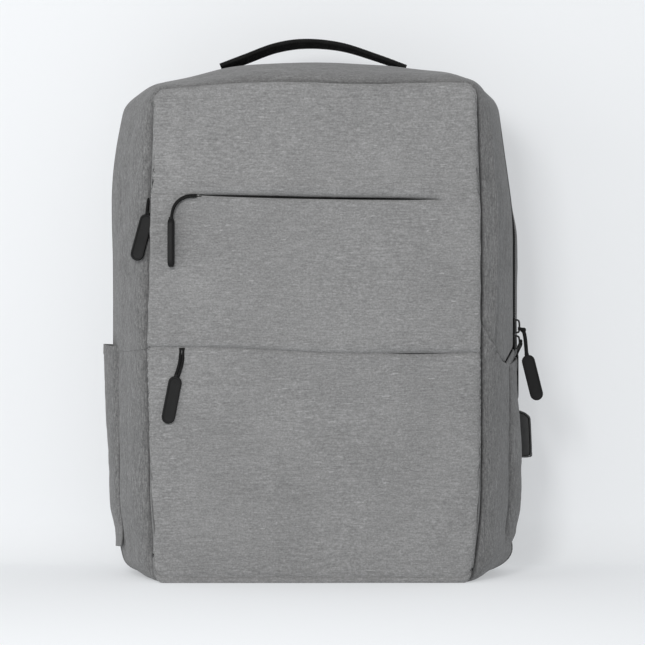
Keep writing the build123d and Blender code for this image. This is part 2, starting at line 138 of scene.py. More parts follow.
LOOPS = {y: even(rounded(mirrored(half)), LOOP) for y, half in GIRTH.items()}
FRONT_LOOP = even(rounded(mirrored(FRONT)), LOOP)
STATIONS = sorted(LOOPS)


def on_loop(loop, t):
    """Point at share t round a loop, from the bottom middle, right side first."""
    s = (t % 1.0) * LOOP
    i = int(s)
    return loop[i].lerp(loop[min(i + 1, LOOP)], s - i)


def smooth(t):
    """Eased step from 0 to 1."""
    t = min(max(t, 0.0), 1.0)
    return t * t * (3 - 2 * t)


def groove(distance, width):
    """1 on a line, falling to 0 a few widths away."""
    return math.exp(-(distance / width) ** 2)


def relaxed(p):
    """Where the filled pack has settled away from its pattern: fuller left shoulder, squarer foot."""
    x, z = p
    swell = smooth((-x - 95) / 30) * 5.4 * groove(z - 350, 48 if z < 350 else 60) * smooth((404 - z) / 16)
    foot = 4.6 * groove(z - 6, 10) if x < 0 else 7.0 * groove(z - 16, 16)
    foot *= smooth((abs(x) - 120) / 20)
    rise = smooth((z - 395) / 12) * (3.6 * groove(x - 114, 20) - 2.4 * groove(x + 99, 24))
    return Vector((x - swell + math.copysign(foot, x), z + rise))


def girth(t, y):
    """Point (x, z) of the body's outline at depth y, eased through the four depths."""
    y = min(max(y, STATIONS[0]), STATIONS[-1])
    k = max(i for i in range(len(STATIONS) - 1) if STATIONS[i] <= y + 1e-9)
    ys = [STATIONS[max(k - 1, 0)], STATIONS[k], STATIONS[k + 1], STATIONS[min(k + 2, 3)]]
    ps = [on_loop(LOOPS[v], t) for v in ys]
    span = ys[2] - ys[1]
    u = (y - ys[1]) / span
    m1 = (ps[2] - ps[0]) / (ys[2] - ys[0]) * span
    m2 = (ps[3] - ps[1]) / (ys[3] - ys[1]) * span
    return relaxed(ps[1] * (2 * u ** 3 - 3 * u ** 2 + 1) + m1 * (u ** 3 - 2 * u ** 2 + u)
                   + ps[2] * (3 * u ** 2 - 2 * u ** 3) + m2 * (u ** 3 - u ** 2))


def outward(t, y=ZIP_Y):
    """Unit vector (x, z) that points out of the outline at t."""
    d = girth(t + 0.004, y) - girth(t - 0.004, y)
    return Vector((d.y, -d.x)).normalized()


def zip_lift(p):
    """Where the right side sags in front of the main zip, so that the zip stands proud of it."""
    return smooth((p.y - 178) / 10) * smooth((312 - p.y) / 30) if p.x > 0 else 0.0


def share_at(loop, test, start=0.0):
    """First share up the loop's right side, from start on, where test(point) is true."""
    for i in range(int(start * LOOP), LOOP // 2 + 1):
        if test(loop[i]):
            return i / LOOP
    return 0.5


ZIP_LOOP = LOOPS[ZIP_Y]
T_BASE = share_at(ZIP_LOOP, lambda p: p.x >= 120)
T_SPLIT = share_at(ZIP_LOOP, lambda p: p.y >= SPLIT_Z)
T_TOP = share_at(ZIP_LOOP, lambda p: p.x <= 128, 0.3)


def side_share(z):
    """Share round the outline of height z on the right side."""
    i = int(share_at(ZIP_LOOP, lambda p: p.y >= z, T_BASE) * LOOP + 0.5)
    a, b = ZIP_LOOP[i - 1].y, ZIP_LOOP[i].y
    return (i - 1 + (z - a) / (b - a)) / LOOP


def fbm(p, size, seed):
    """Soft noise of about one unit, with features of the given size in millimetres."""
    q = Vector(p) / size + Vector((seed * 7.3, seed * 3.1, seed * 5.7))
    total, gain = 0.0, 1.0
    for _ in range(3):
        total += noise.noise(q) * gain
        q = q * 2.03
        gain *= 0.5
    return total


def line_distance(p, line):
    """Distance from a 2-D point to a polyline, and the share along it."""
    best, where, run = 1e9, 0.0, 0.0
    total = sum((Vector(b) - Vector(a)).length for a, b in zip(line, line[1:]))
    for a, b in zip(line, line[1:]):
        a, b = Vector(a), Vector(b)
        d = b - a
        s = min(max((p - a).dot(d) / d.length_squared, 0), 1)
        gap = (p - a - d * s).length
        if gap < best:
            best, where = gap, (run + s * d.length) / total
        run += d.length
    return best, where


# ---- materials ------------------------------------------------------------------------------------

class Nodes:
    """Small helper that builds a node tree for one material."""

    def __init__(self, name, rough, metal=0.0, **sockets):
        self.material = bpy.data.materials.new(name)
        self.material.use_nodes = True
        self.tree = self.material.node_tree
        self.tree.nodes.clear()
        self.out = self.tree.nodes.new("ShaderNodeOutputMaterial")
        self.shader = self.tree.nodes.new("ShaderNodeBsdfPrincipled")
        self.link(self.shader.outputs[0], self.out.inputs[0])
        self.shader.inputs["Roughness"].default_value = rough
        self.shader.inputs["Metallic"].default_value = metal
        for key, value in sockets.items():
            self.shader.inputs[key.replace("_", " ")].default_value = value
        self.coords = self.tree.nodes.new("ShaderNodeTexCoord").outputs["Object"]

    def link(self, a, b):
        self.tree.links.new(a, b)

    def add(self, kind, **values):
        node = self.tree.nodes.new(kind)
        for key, value in values.items():
            if hasattr(node, key):
                setattr(node, key, value)
            else:
                node.inputs[key.replace("_", " ")].default_value = value
        return node

    def noise(self, sx, sy=None, sz=None, detail=2.0, rough=0.5):
        """Noise with a scale for each axis, or one for all."""
        place = self.add("ShaderNodeMapping")
        place.inputs["Scale"].default_value = (sx, sy or sx, sz or sx)
        self.link(self.coords, place.inputs["Vector"])
        node = self.add("ShaderNodeTexNoise", Scale=1.0, Detail=detail, Roughness=rough)
        self.link(place.outputs[0], node.inputs["Vector"])
        return node.outputs["Fac"]

    def math(self, operation, a, b):
        node = self.add("ShaderNodeMath", operation=operation)
        for socket, value in zip(node.inputs, (a, b)):
            if isinstance(value, (int, float)):
                socket.default_value = value
            else:
                self.link(value, socket)
        return node.outputs[0]

    def weighted(self, a, weight_a, b, weight_b):
        return self.math("ADD", self.math("MULTIPLY", a, weight_a), self.math("MULTIPLY", b, weight_b))

    def span(self, value, low, high, to_low, to_high):
        node = self.add("ShaderNodeMapRange")
        for key, number in zip(("From Min", "From Max", "To Min", "To Max"), (low, high, to_low, to_high)):
            node.inputs[key].default_value = number
        self.link(value, node.inputs["Value"])
        return node.outputs[0]

    def ramp(self, value, stops):
        node = self.add("ShaderNodeValToRGB")
        ramp = node.color_ramp
        while len(ramp.elements) < len(stops):
            ramp.elements.new(0.5)
        for element, (place, colour) in zip(ramp.elements, stops):
            element.position = place
            element.color = (*colour, 1)
        self.link(value, node.inputs[0])
        return node.outputs[0]

    def colour(self, value, stops):
        self.link(self.ramp(value, stops), self.shader.inputs["Base Color"])

    def bump(self, height, strength, distance):
        node = self.add("ShaderNodeBump", Strength=strength, Distance=distance)
        self.link(height, node.inputs["Height"])
        self.link(node.outputs[0], self.shader.inputs["Normal"])


def grey(v):
    """Colour of one level, a touch warm."""
    return (v, v * 0.998, v * 0.994)


def heather(name, level, streak, contrast=1.0):
    """Grey melange canvas: fine speckle, drawn-out light and dark yarns along the streak axis."""
    m = Nodes(name, rough=0.92, Sheen_Weight=0.12, Sheen_Roughness=0.6, Specular_IOR_Level=0.15)

    def drawn_out(along, across, detail):
        return m.noise(*(along if axis == streak else across for axis in "xyz"), detail=detail)

    yarn = drawn_out(95.0, 820.0, 2.0)
    short = drawn_out(380.0, 900.0, 1.0)
    speckle = m.noise(760, detail=2.0, rough=0.65)
    cloud = m.noise(16, detail=3.0)
    rare = drawn_out(110.0, 800.0, 0.0)
    mix = m.span(yarn, 0.3, 0.7, -0.11 * contrast, 0.11 * contrast)
    for part, reach in ((short, 0.12 * contrast), (speckle, 0.17), (cloud, 0.06)):
        mix = m.math("ADD", mix, m.span(part, 0.3, 0.7, -reach, reach))
    mix = m.math("ADD", mix, m.math("MULTIPLY", m.math("GREATER_THAN", rare, 0.80), 0.3))
    mix = m.math("ADD", mix, 0.5)
    m.colour(mix, [(0.0, grey(level * 0.52)), (0.5, grey(level)), (1.0, grey(level * 1.65))])
    m.bump(m.weighted(speckle, 0.6, yarn, 0.5), 0.45, 0.0004)
    return m.material


def webbing(name, level=0.009, pitch=0.0014):
    """Black woven webbing: fine cross ribs and a dusty, uneven tone."""
    m = Nodes(name, rough=0.8, Specular_IOR_Level=0.15)
    fine = m.noise(1500, detail=2.0)
    wide = m.noise(120, detail=3.0)
    m.colour(m.weighted(fine, 0.75, wide, 0.25),
             [(0.3, grey(level * 0.5)), (0.5, grey(level)), (0.75, grey(level * 2.6))])
    wave = m.add("ShaderNodeTexWave", Scale=1 / pitch / 6.28, Distortion=1.5, Detail=1.0)
    wave.bands_direction = "X"
    m.link(m.coords, wave.inputs["Vector"])
    m.bump(m.math("ADD", m.math("MULTIPLY", wave.outputs["Fac"], 0.6), fine), 0.5, 0.0004)
    return m.material


def moulded(name, level, rough, depth=0.00006, coat=0.0, metal=0.0, specular=0.5):
    """Moulded plastic, rubber or lacquer with a fine grain and uneven gloss."""
    m = Nodes(name, rough=rough, metal=metal, Coat_Weight=coat, Coat_Roughness=0.12,
              Specular_IOR_Level=specular)
    fine = m.noise(2200, detail=2.0)
    wide = m.noise(70, detail=4.0, rough=0.6)
    m.colour(wide, [(0.3, grey(level * 0.8)), (0.7, grey(level * 1.3))])
    m.link(m.span(wide, 0.3, 0.7, rough - 0.07, rough + 0.07), m.shader.inputs["Roughness"])
    m.bump(fine, 0.4, depth)
    return m.material


def mesh_cloth(name, level):
    """Black spacer mesh: a grid of small open cells."""
    m = Nodes(name, rough=0.85, Sheen_Weight=0.3, Sheen_Roughness=0.4, Specular_IOR_Level=0.2)
    cells = m.add("ShaderNodeTexVoronoi", Scale=420.0)
    m.link(m.coords, cells.inputs["Vector"])
    holes = m.span(cells.outputs["Distance"], 0.1, 0.6, 0.0, 1.0)
    wide = m.noise(40, detail=3.0)
    m.colour(m.weighted(holes, 0.7, wide, 0.3),
             [(0.1, grey(level * 0.3)), (0.7, grey(level)), (1.0, grey(level * 2.2))])
    m.bump(holes, 0.7, 0.0006)
    return m.material


FRONT_CLOTH = heather("front_cloth", 0.222, "x")
# The side and top cloths are the front's melange at lower levels: painted shade for the sides, back, top and
# base, which face away from the light.
SHADED_SIDE_CLOTH = heather("side_cloth_painted_shade", 0.155, "z", 1.6)
SHADED_TOP_CLOTH = heather("top_cloth_painted_shade", 0.172, "x", 1.2)
LINING = webbing("dark_lining", 0.02, 0.0008)
WEB = webbing("black_webbing")
TAPE = webbing("zip_tape", 0.008, 0.0007)
TEETH = moulded("zip_teeth", 0.012, 0.5, specular=0.2)
MESH = mesh_cloth("spacer_mesh", 0.02)
CORD = webbing("braided_cord", 0.008, 0.0012)
RUBBER = moulded("pull_rubber", 0.007, 0.55, depth=0.00009, specular=0.2)
LACQUER = moulded("slider_lacquer", 0.016, 0.32, metal=0.5, coat=0.2, specular=0.3)
ACETAL = moulded("black_acetal", 0.014, 0.42, specular=0.3)
PORT_BODY = moulded("port_body", 0.030, 0.42)
PORT_GLOSS = moulded("port_gloss", 0.006, 0.14, depth=0.00002, coat=0.8)
NICKEL = moulded("nickel", 0.6, 0.22, metal=1.0)
THREAD = moulded("thread", 0.30, 0.7)
GREY_THREAD = moulded("grey_thread", 0.13, 0.7)
DARK_THREAD = moulded("dark_thread", 0.03, 0.7)

# ---- making pieces --------------------------------------------------------------------------------

def painted(obj, material, smooth_faces=True):
    """Gives a piece its material and its shading."""
    obj.data.materials.append(material)
    if smooth_faces and obj.type == "MESH":
        for f in obj.data.polygons:
            f.use_smooth = True


def repainted(node, material):
    """Gives a CAD node that stays visible a better material."""
    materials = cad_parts[node].data.materials
    materials.clear()
    materials.append(material)


def finished(obj, material, body, nodes=(), smooth_faces=True):
    """Gives a piece its material and its body, and hides the CAD nodes that it stands for."""
    painted(obj, material, smooth_faces)
    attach(obj, body)
    if nodes:
        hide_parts(*([nodes] if isinstance(nodes, str) else nodes))
    return obj


def mesh_object(name, points, faces):
    """Mesh object from points in millimetres."""
    mesh = bpy.data.meshes.new(name)
    mesh.from_pydata([Vector(p) * MM for p in points], [], faces)
    bm = bmesh.new()
    bm.from_mesh(mesh)
    bmesh.ops.remove_doubles(bm, verts=bm.verts, dist=1e-7)
    bmesh.ops.recalc_face_normals(bm, faces=bm.faces)
    bm.to_mesh(mesh)
    bm.free()
    obj = bpy.data.objects.new(name, mesh)
    bpy.context.scene.collection.objects.link(obj)
    return obj


def steps(count, edge=()):
    """0 to 1 in count even steps, with extra places this far in from each end."""
    places = {i / count for i in range(count + 1)}
    for e in edge:
        places |= {e, 1 - e}
    return sorted(places)


def sheet_object(name, us, vs, point, keep=None, thick=CLOTH, flip=False):
    """Grid of point(u, v) with real thickness, which lies on the side away from the faces' normals, or on
    their side if thick is negative."""
    points = [point(u, v) for u in us for v in vs]
    width = len(vs)
    faces = []
    for i in range(len(us) - 1):
        for j in range(width - 1):
            if keep and not keep((us[i] + us[i + 1]) / 2, (vs[j] + vs[j + 1]) / 2):
                continue
            a = i * width + j
            quad = (a, a + 1, a + width + 1, a + width)
            faces.append(quad[::-1] if flip else quad)
    mesh = bpy.data.meshes.new(name)
    mesh.from_pydata([Vector(p) * MM for p in points], [], faces)
    obj = bpy.data.objects.new(name, mesh)
    bpy.context.scene.collection.objects.link(obj)
    bm = bmesh.new()
    bm.from_mesh(mesh)
    loose = [v for v in bm.verts if not v.link_faces]
    bmesh.ops.delete(bm, geom=loose, context="VERTS")
    bm.to_mesh(mesh)
    bm.free()
    solid = obj.modifiers.new("thickness", "SOLIDIFY")
    solid.thickness = thick * MM
    solid.offset = -1
    solid.use_even_offset = False
    return obj


def bevelled(obj, radius):
    """Rounds every edge of a mesh object."""
    bm = bmesh.new()
    bm.from_mesh(obj.data)
    bmesh.ops.bevel(bm, geom=bm.edges[:], offset=radius * MM, segments=3, profile=0.5, affect="EDGES")
    bm.to_mesh(obj.data)
    bm.free()
    return obj


def block(name, lo, hi, radius):
    """Box between two corners with rounded edges."""
    lo, hi = Vector(lo), Vector(hi)
    points = [(x, y, z) for x in (lo.x, hi.x) for y in (lo.y, hi.y) for z in (lo.z, hi.z)]
    faces = [(0, 1, 3, 2), (4, 6, 7, 5), (0, 4, 5, 1), (2, 3, 7, 6), (0, 2, 6, 4), (1, 5, 7, 3)]
    return bevelled(mesh_object(name, points, faces), radius)


def tube_curve(name, points, radius, closed=False):
    """Smooth round cord through control points, as a curve of one spline."""
    curve = bpy.data.curves.new(name, "CURVE")
    curve.dimensions = "3D"
    curve.bevel_depth = radius * MM
    curve.bevel_resolution = 3
    curve.use_fill_caps = not closed
    curve.resolution_u = 8
    spline = curve.splines.new("NURBS")
    spline.points.add(len(points) - 1)
    for p, co in zip(spline.points, points):
        p.co = (*(Vector(co) * MM), 1)
    spline.order_u = 3
    spline.use_endpoint_u = not closed
    spline.use_cyclic_u = closed
    obj = bpy.data.objects.new(name, curve)
    bpy.context.scene.collection.objects.link(obj)
    return obj


def through(points, count):
    """Even points on a smooth line through the given ones."""
    pts = [Vector(p) for p in points]
    pts = [pts[0] * 2 - pts[1]] + pts + [pts[-1] * 2 - pts[-2]]
    line = []
    for a, b, c, d in zip(pts, pts[1:], pts[2:], pts[3:]):
        for k in range(16):
            u = k / 16
            line.append(0.5 * (2 * b + (c - a) * u + (2 * a - 5 * b + 4 * c - d) * u * u
                               + (3 * b - a - 3 * c + d) * u ** 3))
    line.append(pts[-2].copy())
    return even(line, count)


def ribbon(name, points, across, width, thick, count, ribs=0, rib=0.0, crown=0.0, tilt=None, notch=0.0):
    """Flat strap along a smooth line, with rounded edges and lengthwise ribs.

    across may turn along the strap by tilt(share), and notch is the depth of its crosswise ribs."""
    line = through(points, count)
    level = Vector(across).normalized()
    rows = []
    wide = 28 if ribs else 10
    for i, p in enumerate(line):
        along = (line[min(i + 1, count)] - line[max(i - 1, 0)]).normalized()
        across = Matrix.Rotation(tilt(i / count), 3, along) @ level if tilt else level
        side = (across - along * across.dot(along)).normalized()
        up = side.cross(along).normalized()
        half = width / 2
        ring = []
        for face in (1, -1):
            for k in range(wide + 1):
                s = -1 + 2 * k / wide
                s *= face
                edge = (1 - abs(s) ** 6) ** 0.5
                height = thick / 2 * (0.35 + 0.65 * edge) + crown * (1 - s * s)
                if ribs:
                    height += rib * math.cos(s * ribs * math.pi) * edge
                height -= notch * (i % 2)
                ring.append(p + side * half * s + up * face * height)
        rows.append(ring)
    size = len(rows[0])
    verts = [v for ring in rows for v in ring]
    faces = []
    for i in range(count):
        for k in range(size):
            a, b = i * size + k, i * size + (k + 1) % size
            faces.append((a, b, b + size, a + size))
    faces.append(tuple(range(size))[::-1])
    faces.append(tuple(range(count * size, count * size + size)))
    return mesh_object(name, verts, faces)


def stitches(name, line, out, length=2.4, gap=1.3, radius=0.32):
    """Row of raised thread stitches along a line of points, standing off towards out."""
    total = sum((Vector(b) - Vector(a)).length for a, b in zip(line, line[1:]))
    number = max(1, int(total / (length + gap)))
    places = even([Vector(p) for p in line], number * 4)
    verts, faces = [], []
    out = Vector(out).normalized()
    for k in range(number):
        a, b = places[4 * k], places[4 * k + 3]
        along = (b - a).normalized()
        side = along.cross(out).normalized()
        base = len(verts)
        for s, r, lift in ((0, 0.3, 0.0), (0.2, 1, 0.6), (0.8, 1, 0.6), (1, 0.3, 0.0)):
            for turn in range(6):
                w = turn * math.pi / 3
                verts.append(a.lerp(b, s) + (side * math.cos(w) + out * (math.sin(w) + lift)) * radius * r)
        for ring in range(3):
            for turn in range(6):
                i, j = base + ring * 6 + turn, base + ring * 6 + (turn + 1) % 6
                faces.append((i, j, j + 6, i + 6))
        faces.append(tuple(base + i for i in range(6)))
        faces.append(tuple(base + 18 + i for i in range(6)))
    return mesh_object(name, verts, faces)


INFLATE_FRAMES = 16


def inflate(obj, pressure, limit):
    """Blows a closed padded mesh up with cloth simulation, each point held to within limit of its start."""
    start = [v.co.copy() for v in obj.data.vertices]
    cloth = obj.modifiers.new("cloth", "CLOTH")
    settings = cloth.settings
    settings.use_pressure = True
    settings.uniform_pressure_force = pressure
    settings.effector_weights.gravity = 0
    settings.quality = 5
    cloth.collision_settings.use_collision = False
    settings.vertex_group_mass = "pin"
    scene = bpy.context.scene
    cloth.point_cache.frame_start, cloth.point_cache.frame_end = 1, INFLATE_FRAMES
    for f in range(1, INFLATE_FRAMES + 1):
        scene.frame_set(f)
    shape = obj.evaluated_get(bpy.context.evaluated_depsgraph_get())
    moved = [v.co.copy() for v in shape.data.vertices]
    obj.modifiers.remove(cloth)
    for v, a, b in zip(obj.data.vertices, start, moved):
        d = b - a
        v.co = a + d * min(1.0, limit * MM / d.length if d.length else 1.0)
    scene.frame_set(1)


# ---- front panels ---------------------------------------------------------------------------------
tree = kdtree.KDTree(LOOP)
for index in range(LOOP):
    tree.insert((FRONT_LOOP[index].x, FRONT_LOOP[index].y, 0), index)
tree.balance()
right_front = FRONT_LOOP[:LOOP // 2 + 1]


def front_half_width(z):
    """Half the front's width at height z."""
    side = [p for p in right_front if 12 < p.y < 388]
    for a, b in zip(side, side[1:]):
        if a.y <= z <= b.y:
            return a.x + (b.x - a.x) * (z - a.y) / (b.y - a.y)
    return side[0].x if z < side[0].y else side[-1].x


def front_edge_z(x, top):
    """Height of the front section's top or bottom edge at x."""
    x = min(abs(x), max(p.x for p in right_front) - 0.01)
    hits = [a.y + (b.y - a.y) * (x - a.x) / (b.x - a.x) for a, b in zip(right_front, right_front[1:])
            if (a.x - x) * (b.x - x) <= 0 and a.x != b.x]
    return max(hits) if top else min(hits)


def left_trim(z):
    """How far the side pulls the front's left edge inwards."""
    return 3.9 * smooth((z - 8) / 40) - 2.2 * groove(z - 190, 55)


DIMPLES = [([(66, 181), (48, 175), (28, 168)], 1.3, 4.5), ([(-120, 178), (-96, 168)], 0.7, 6.0),
           ([(20, 120), (70, 96)], 0.6, 14.0), ([(-70, 340), (-20, 352)], 0.5, 14.0)]


def front_rise(x, z):
    """How far the front's top right corner stands above its pattern."""
    return smooth((z - 375) / 22) * (5.0 * smooth((x - 50) / 75) - 2.2 * groove(x - 20, 45))


def front_roll(x):
    """Radius of the front's rolled edge, softer on the right."""
    return 2.4 + 2.0 * smooth(x / 60)


def front_depth(x, z):
    """Depth of the front face: rolled at the outline, gently uneven elsewhere."""
    _, _, d = tree.find((x, z, 0))
    y = FRONT_Y
    roll = front_roll(x)
    if d < roll:
        y += roll - math.sqrt(max(roll ** 2 - (roll - d) ** 2, 0))
    soft = smooth(d / 22)
    y += soft * (0.9 * fbm((x, 0, z), 95, 1) + 0.35 * fbm((x, 0, z), 34, 2) - 0.9)
    for line, deep, wide in DIMPLES:
        gap, along = line_distance(Vector((x, z)), line)
        y += deep * groove(gap, wide) * math.sin(math.pi * min(max(along, 0.08), 0.92))
    return y


def upper_slit_z(x):
    """Middle line of the upper pocket's zip, dropping towards its right end."""
    return UPPER_ZIP_Z - 2.4 + 3.4 * ((104 - x) / 197) ** 2


def lower_seam_z(x):
    """Line where the upper front folds over the lower pocket's zip, sagging to the right."""
    return SPLIT_Z + 3.3 - 5.2 * smooth((x + 90) / 130) + 0.6 * smooth((x - 100) / 30)


def fold_gap(x):
    """Width of the gap below the folded seam, widest where the cloth is pulled."""
    return 0.5 + 1.5 * groove(x - 84, 34)


SLIT_X = (-97.0, 104.0)


def slit_gap(x):
    """Width of the upper zip's opening, closing towards its ends."""
    middle, half = sum(SLIT_X) / 2, (SLIT_X[1] - SLIT_X[0]) / 2
    s = abs((x - middle) / half)
    return 3.0 * math.sqrt(max(1 - s ** 5, 0)) if s < 1 else 0.0


U_STEPS = steps(96, (0.0008, 0.003, 0.006, 0.0085))


def panel(name, low, high, nodes, body, low_lip, high_lip=None, rows=64):
    """One front panel between two curved edges, given as functions of x."""
    rs = steps(rows, (0.002, 0.006, 0.012, 0.02))

    def point(u, r):
        s = 2 * u - 1
        guess = low(s * 130) * (1 - r) + high(s * 130) * r
        x = s * front_half_width(min(max(guess, 13), 387))
        z = low(x) * (1 - r) + high(x) * r
        y = front_depth(x, z)
        x += left_trim(z) * max(-s, 0)
        y += low_lip(x, z - low(x))
        if high_lip:
            y += high_lip(x, high(x) - z)
        return (x, y, z + front_rise(x, z))

    obj = sheet_object(name, U_STEPS, rs, point, thick=1.3)
    return finished(obj, FRONT_CLOTH, body, nodes)


def over_lip(x, d):
    """Upper lip of the zip opening: swells, then turns in sharply."""
    open_share = slit_gap(x) / 3.0
    return open_share * (5.0 * max(0, 1 - d / 4.4) ** 2 - 1.2 * groove(d - 7, 4)) + 0.7 * groove(d, 0.9)


def under_lip(x, d):
    """Lower lip of the zip opening: a small roll with a shallow swell below it."""
    open_share = slit_gap(x) / 3.0
    return 0.6 * groove(d, 0.8) + open_share * (0.6 * max(0, 1 - d / 1.5) ** 2 - 0.5 * groove(d - 2, 3))


def fold_lip(x, d):
    """Lower edge of the middle panel, folded over the lower zip."""
    pulled = groove(x - 84, 40)
    return (1.6 + 1.8 * pulled) * max(0, 1 - d / (1.8 + 3.4 * pulled)) ** 2 - 0.8 * groove(d - 4.5, 3.5)


def tucked_lip(x, d):
    """Upper edge of the lower panel, tucked behind the fold."""
    return 2.2 * max(0, 1 - d / 4.5) ** 2 + 0.3 * max(0, 1 - d / 12)


def base_seam(x, d):
    """Seam along the foot of the front."""
    return 1.5 * groove(d - 4.6, 0.8) - 0.4 * groove(d - 7.5, 2)


panel("front_upper", lambda x: upper_slit_z(x) + slit_gap(x) / 2, lambda x: front_edge_z(x, True),
      "front_panel_upper", "flap", low_lip=over_lip)
panel("front_middle", lambda x: lower_seam_z(x) + 0.35, lambda x: upper_slit_z(x) - slit_gap(x) / 2,
      "front_panel_middle", "flap", low_lip=fold_lip, high_lip=under_lip)
panel("front_lower", lambda x: front_edge_z(x, False), lambda x: lower_seam_z(x) - fold_gap(x),
      "front_panel_lower", "shell", low_lip=base_seam, high_lip=tucked_lip, rows=80)


def edge_shift(p):
    """The left edge's trim for a point (x, z) on the front section's outline."""
    return left_trim(p.y) * smooth((-p.x - 100) / 25)


def border_depth(x, v):
    """Depth across the front section's side wall, from under the face's rolled edge back."""
    start = FRONT_Y + front_roll(x) - 2.2
    return start + (FRONT_BACK_Y - 1.0 - start) * v


def border(name, t_ranges, body, nodes, skip=None):
    """Side wall of the front section, behind its face."""
    obj = None
    us = [t for a, b in t_ranges for t in [a + (b - a) * i / 90 for i in range(91)]]

    def point(t, v):
        p = on_loop(FRONT_LOOP, t)
        d = on_loop(FRONT_LOOP, t + 0.002) - on_loop(FRONT_LOOP, t - 0.002)
        n = Vector((d.y, -d.x)).normalized()
        y = border_depth(p.x, v)
        p = p + n * (-1.3 * groove(v, 0.08) - 0.3 + 0.25 * fbm((p.x, y, p.y), 22, 4))
        return (p.x + edge_shift(p), y, max(p.y + front_rise(p.x, p.y), CLOTH))

    obj = sheet_object(name, us, steps(12), point, keep=skip, flip=True)
    return finished(obj, SHADED_SIDE_CLOTH, body, nodes)


T_FRONT_SPLIT = share_at(FRONT_LOOP, lambda p: p.y >= SPLIT_Z + 0.4)
slot_lo, slot_hi = box_mm("side_zip_tape")


def slot_open(t, v):
    """False inside the side pocket's zip opening."""
    p = on_loop(FRONT_LOOP, t)
    y = border_depth(p.x, v)
    return not (p.x < 0 and slot_lo.z + 6 < p.y < slot_hi.z - 6 and slot_lo.y + 1.8 < y < slot_hi.y - 1.8)


border("front_border_upper", [(T_FRONT_SPLIT, 1 - T_FRONT_SPLIT)], "flap", "front_section_upper", slot_open)
border("front_border_lower", [(1 - T_FRONT_SPLIT + 0.0008, 1), (0.0, T_FRONT_SPLIT - 0.0008)], "shell",
       "front_section_lower")

# ---- gussets --------------------------------------------------------------------------------------
# Cross-section of the front gusset, from the groove beside the front section back to the main zip:
# share of the way out, depth. It swells forward beside the front section and folds at FOLD.
PROFILES = {
    "left": [(0.0, -47.0), (0.03, -53.0), (0.10, -55.5), (0.22, -54.0), (0.34, -49.0), (0.46, -42.0),
             (0.56, -34.0), (0.70, -24.0), (0.84, -12.0), (0.95, -1.0), (1.0, 5.6)],
    "right": [(0.02, -38.0), (0.03, -50.0), (0.07, -57.0), (0.15, -58.8), (0.27, -56.5), (0.40, -51.5),
              (0.50, -45.5), (0.60, -37.0), (0.72, -25.0), (0.86, -11.0), (0.95, -1.0), (1.0, 5.6)],
}
PROFILE_STEPS, PROFILE_REACH = 240, 100    # points kept along a cross-section, and the length of its way out
profile_lines = {side: through([(a * PROFILE_REACH, y, 0) for a, y in rows], PROFILE_STEPS)
                 for side, rows in PROFILES.items()}


def fold_at(z):
    """Where the pleat runs at height z, as a share of the gusset's width."""
    return 0.470 - 0.10 * smooth((270 - z) / 80)


def gusset_base(t, v):
    """Point on the smooth gusset, and the direction its cloth faces."""
    s = v * PROFILE_STEPS
    i = min(int(s), PROFILE_STEPS - 1)
    inner = on_loop(FRONT_LOOP, t)
    outer = girth(t, ZIP_FRONT_Y)
    right = smooth((inner.x + 60) / 120)
    line = [a.lerp(b, right) for a, b in zip(profile_lines["left"][max(i - 2, 0):i + 4],
                                             profile_lines["right"][max(i - 2, 0):i + 4])]
    at = min(i, 2)
    q = line[at].lerp(line[min(at + 1, len(line) - 1)], s - i)
    a, y = q.x / PROFILE_REACH, q.y
    inner = inner + Vector((edge_shift(inner), front_rise(inner.x, inner.y)))
    p = inner.lerp(outer, a)
    top = smooth((p.y - 396) / 10) * smooth((132 - abs(p.x)) / 12)
    y = y * (1 - top) + top * (-47 + (y + 47) * 0.95 + 1.5)
    n = outward(t)
    k = line[-1] - line[0]
    lean = Vector((k.x / PROFILE_REACH * 31, k.y)).normalized()
    facing = Vector((n.x * lean.y, -lean.x, n.y * lean.y))
    return Vector((p.x, y, p.y)), facing


SIDE_MARKS = {
    "right": [([(0.62, 258), (0.70, 280), (0.80, 304)], 1.1, 4.0), ([(0.20, 330), (0.28, 352)], 0.8, 6.0),
              ([(0.10, 296), (0.22, 278), (0.34, 270)], 0.7, 6.0), ([(0.16, 128), (0.36, 118)], 0.8, 7.0)],
    "left": [([(0.72, 341), (0.69, 312), (0.60, 279)], 1.3, 1.8), ([(0.42, 330), (0.56, 312)], 1.3, 6.0),
             ([(0.06, 372), (0.16, 354)], 1.3, 5.0), ([(0.30, 262), (0.66, 248)], 1.0, 8.0),
             ([(0.20, 120), (0.42, 96)], 1.0, 8.0), ([(0.12, 66), (0.36, 58)], 0.8, 7.0)],
}


def side_creases(p, v, right):
    """How far the cloth is drawn in at the folds of the side, in millimetres."""
    z = p.z
    depth = 0.0
    if right:
        along = smooth((z - 182) / 10) * smooth((392 - z) / 26)
        d = (v - fold_at(z)) * PLEAT_WIDTH
        depth += along * (8.0 * groove(d, 0.7) if d < 0 else 4.5 * groove(d, 2.0) + 3.5 * math.exp(-d / 12))
        depth -= 1.8 * along * groove(d + 3.5, 3)
    else:
        depth += 2.0 * groove(z - 285, 26) * groove((v - 0.14) * PLEAT_WIDTH, 9)
    q = Vector((v * GUSSET_WIDTH, z))
    for line, deep, wide in SIDE_MARKS["right" if right else "left"]:
        gap, along = line_distance(q, [(a * GUSSET_WIDTH, b) for a, b in line])
        depth += deep * groove(gap, wide) * math.sin(math.pi * min(max(along, 0.05), 0.95))
    return depth


HINGE_LINES = {
    "right": [(0.0, 216.0), (0.08, 215.0), (0.15, 211.4), (0.25, 198.4), (0.38, 188.6), (0.53, 179.4),
              (0.66, 177.0), (0.84, 183.0), (1.0, 189.0)],
    "left": [(0.0, 190.0), (0.5, 187.0), (1.0, 189.0)],
}


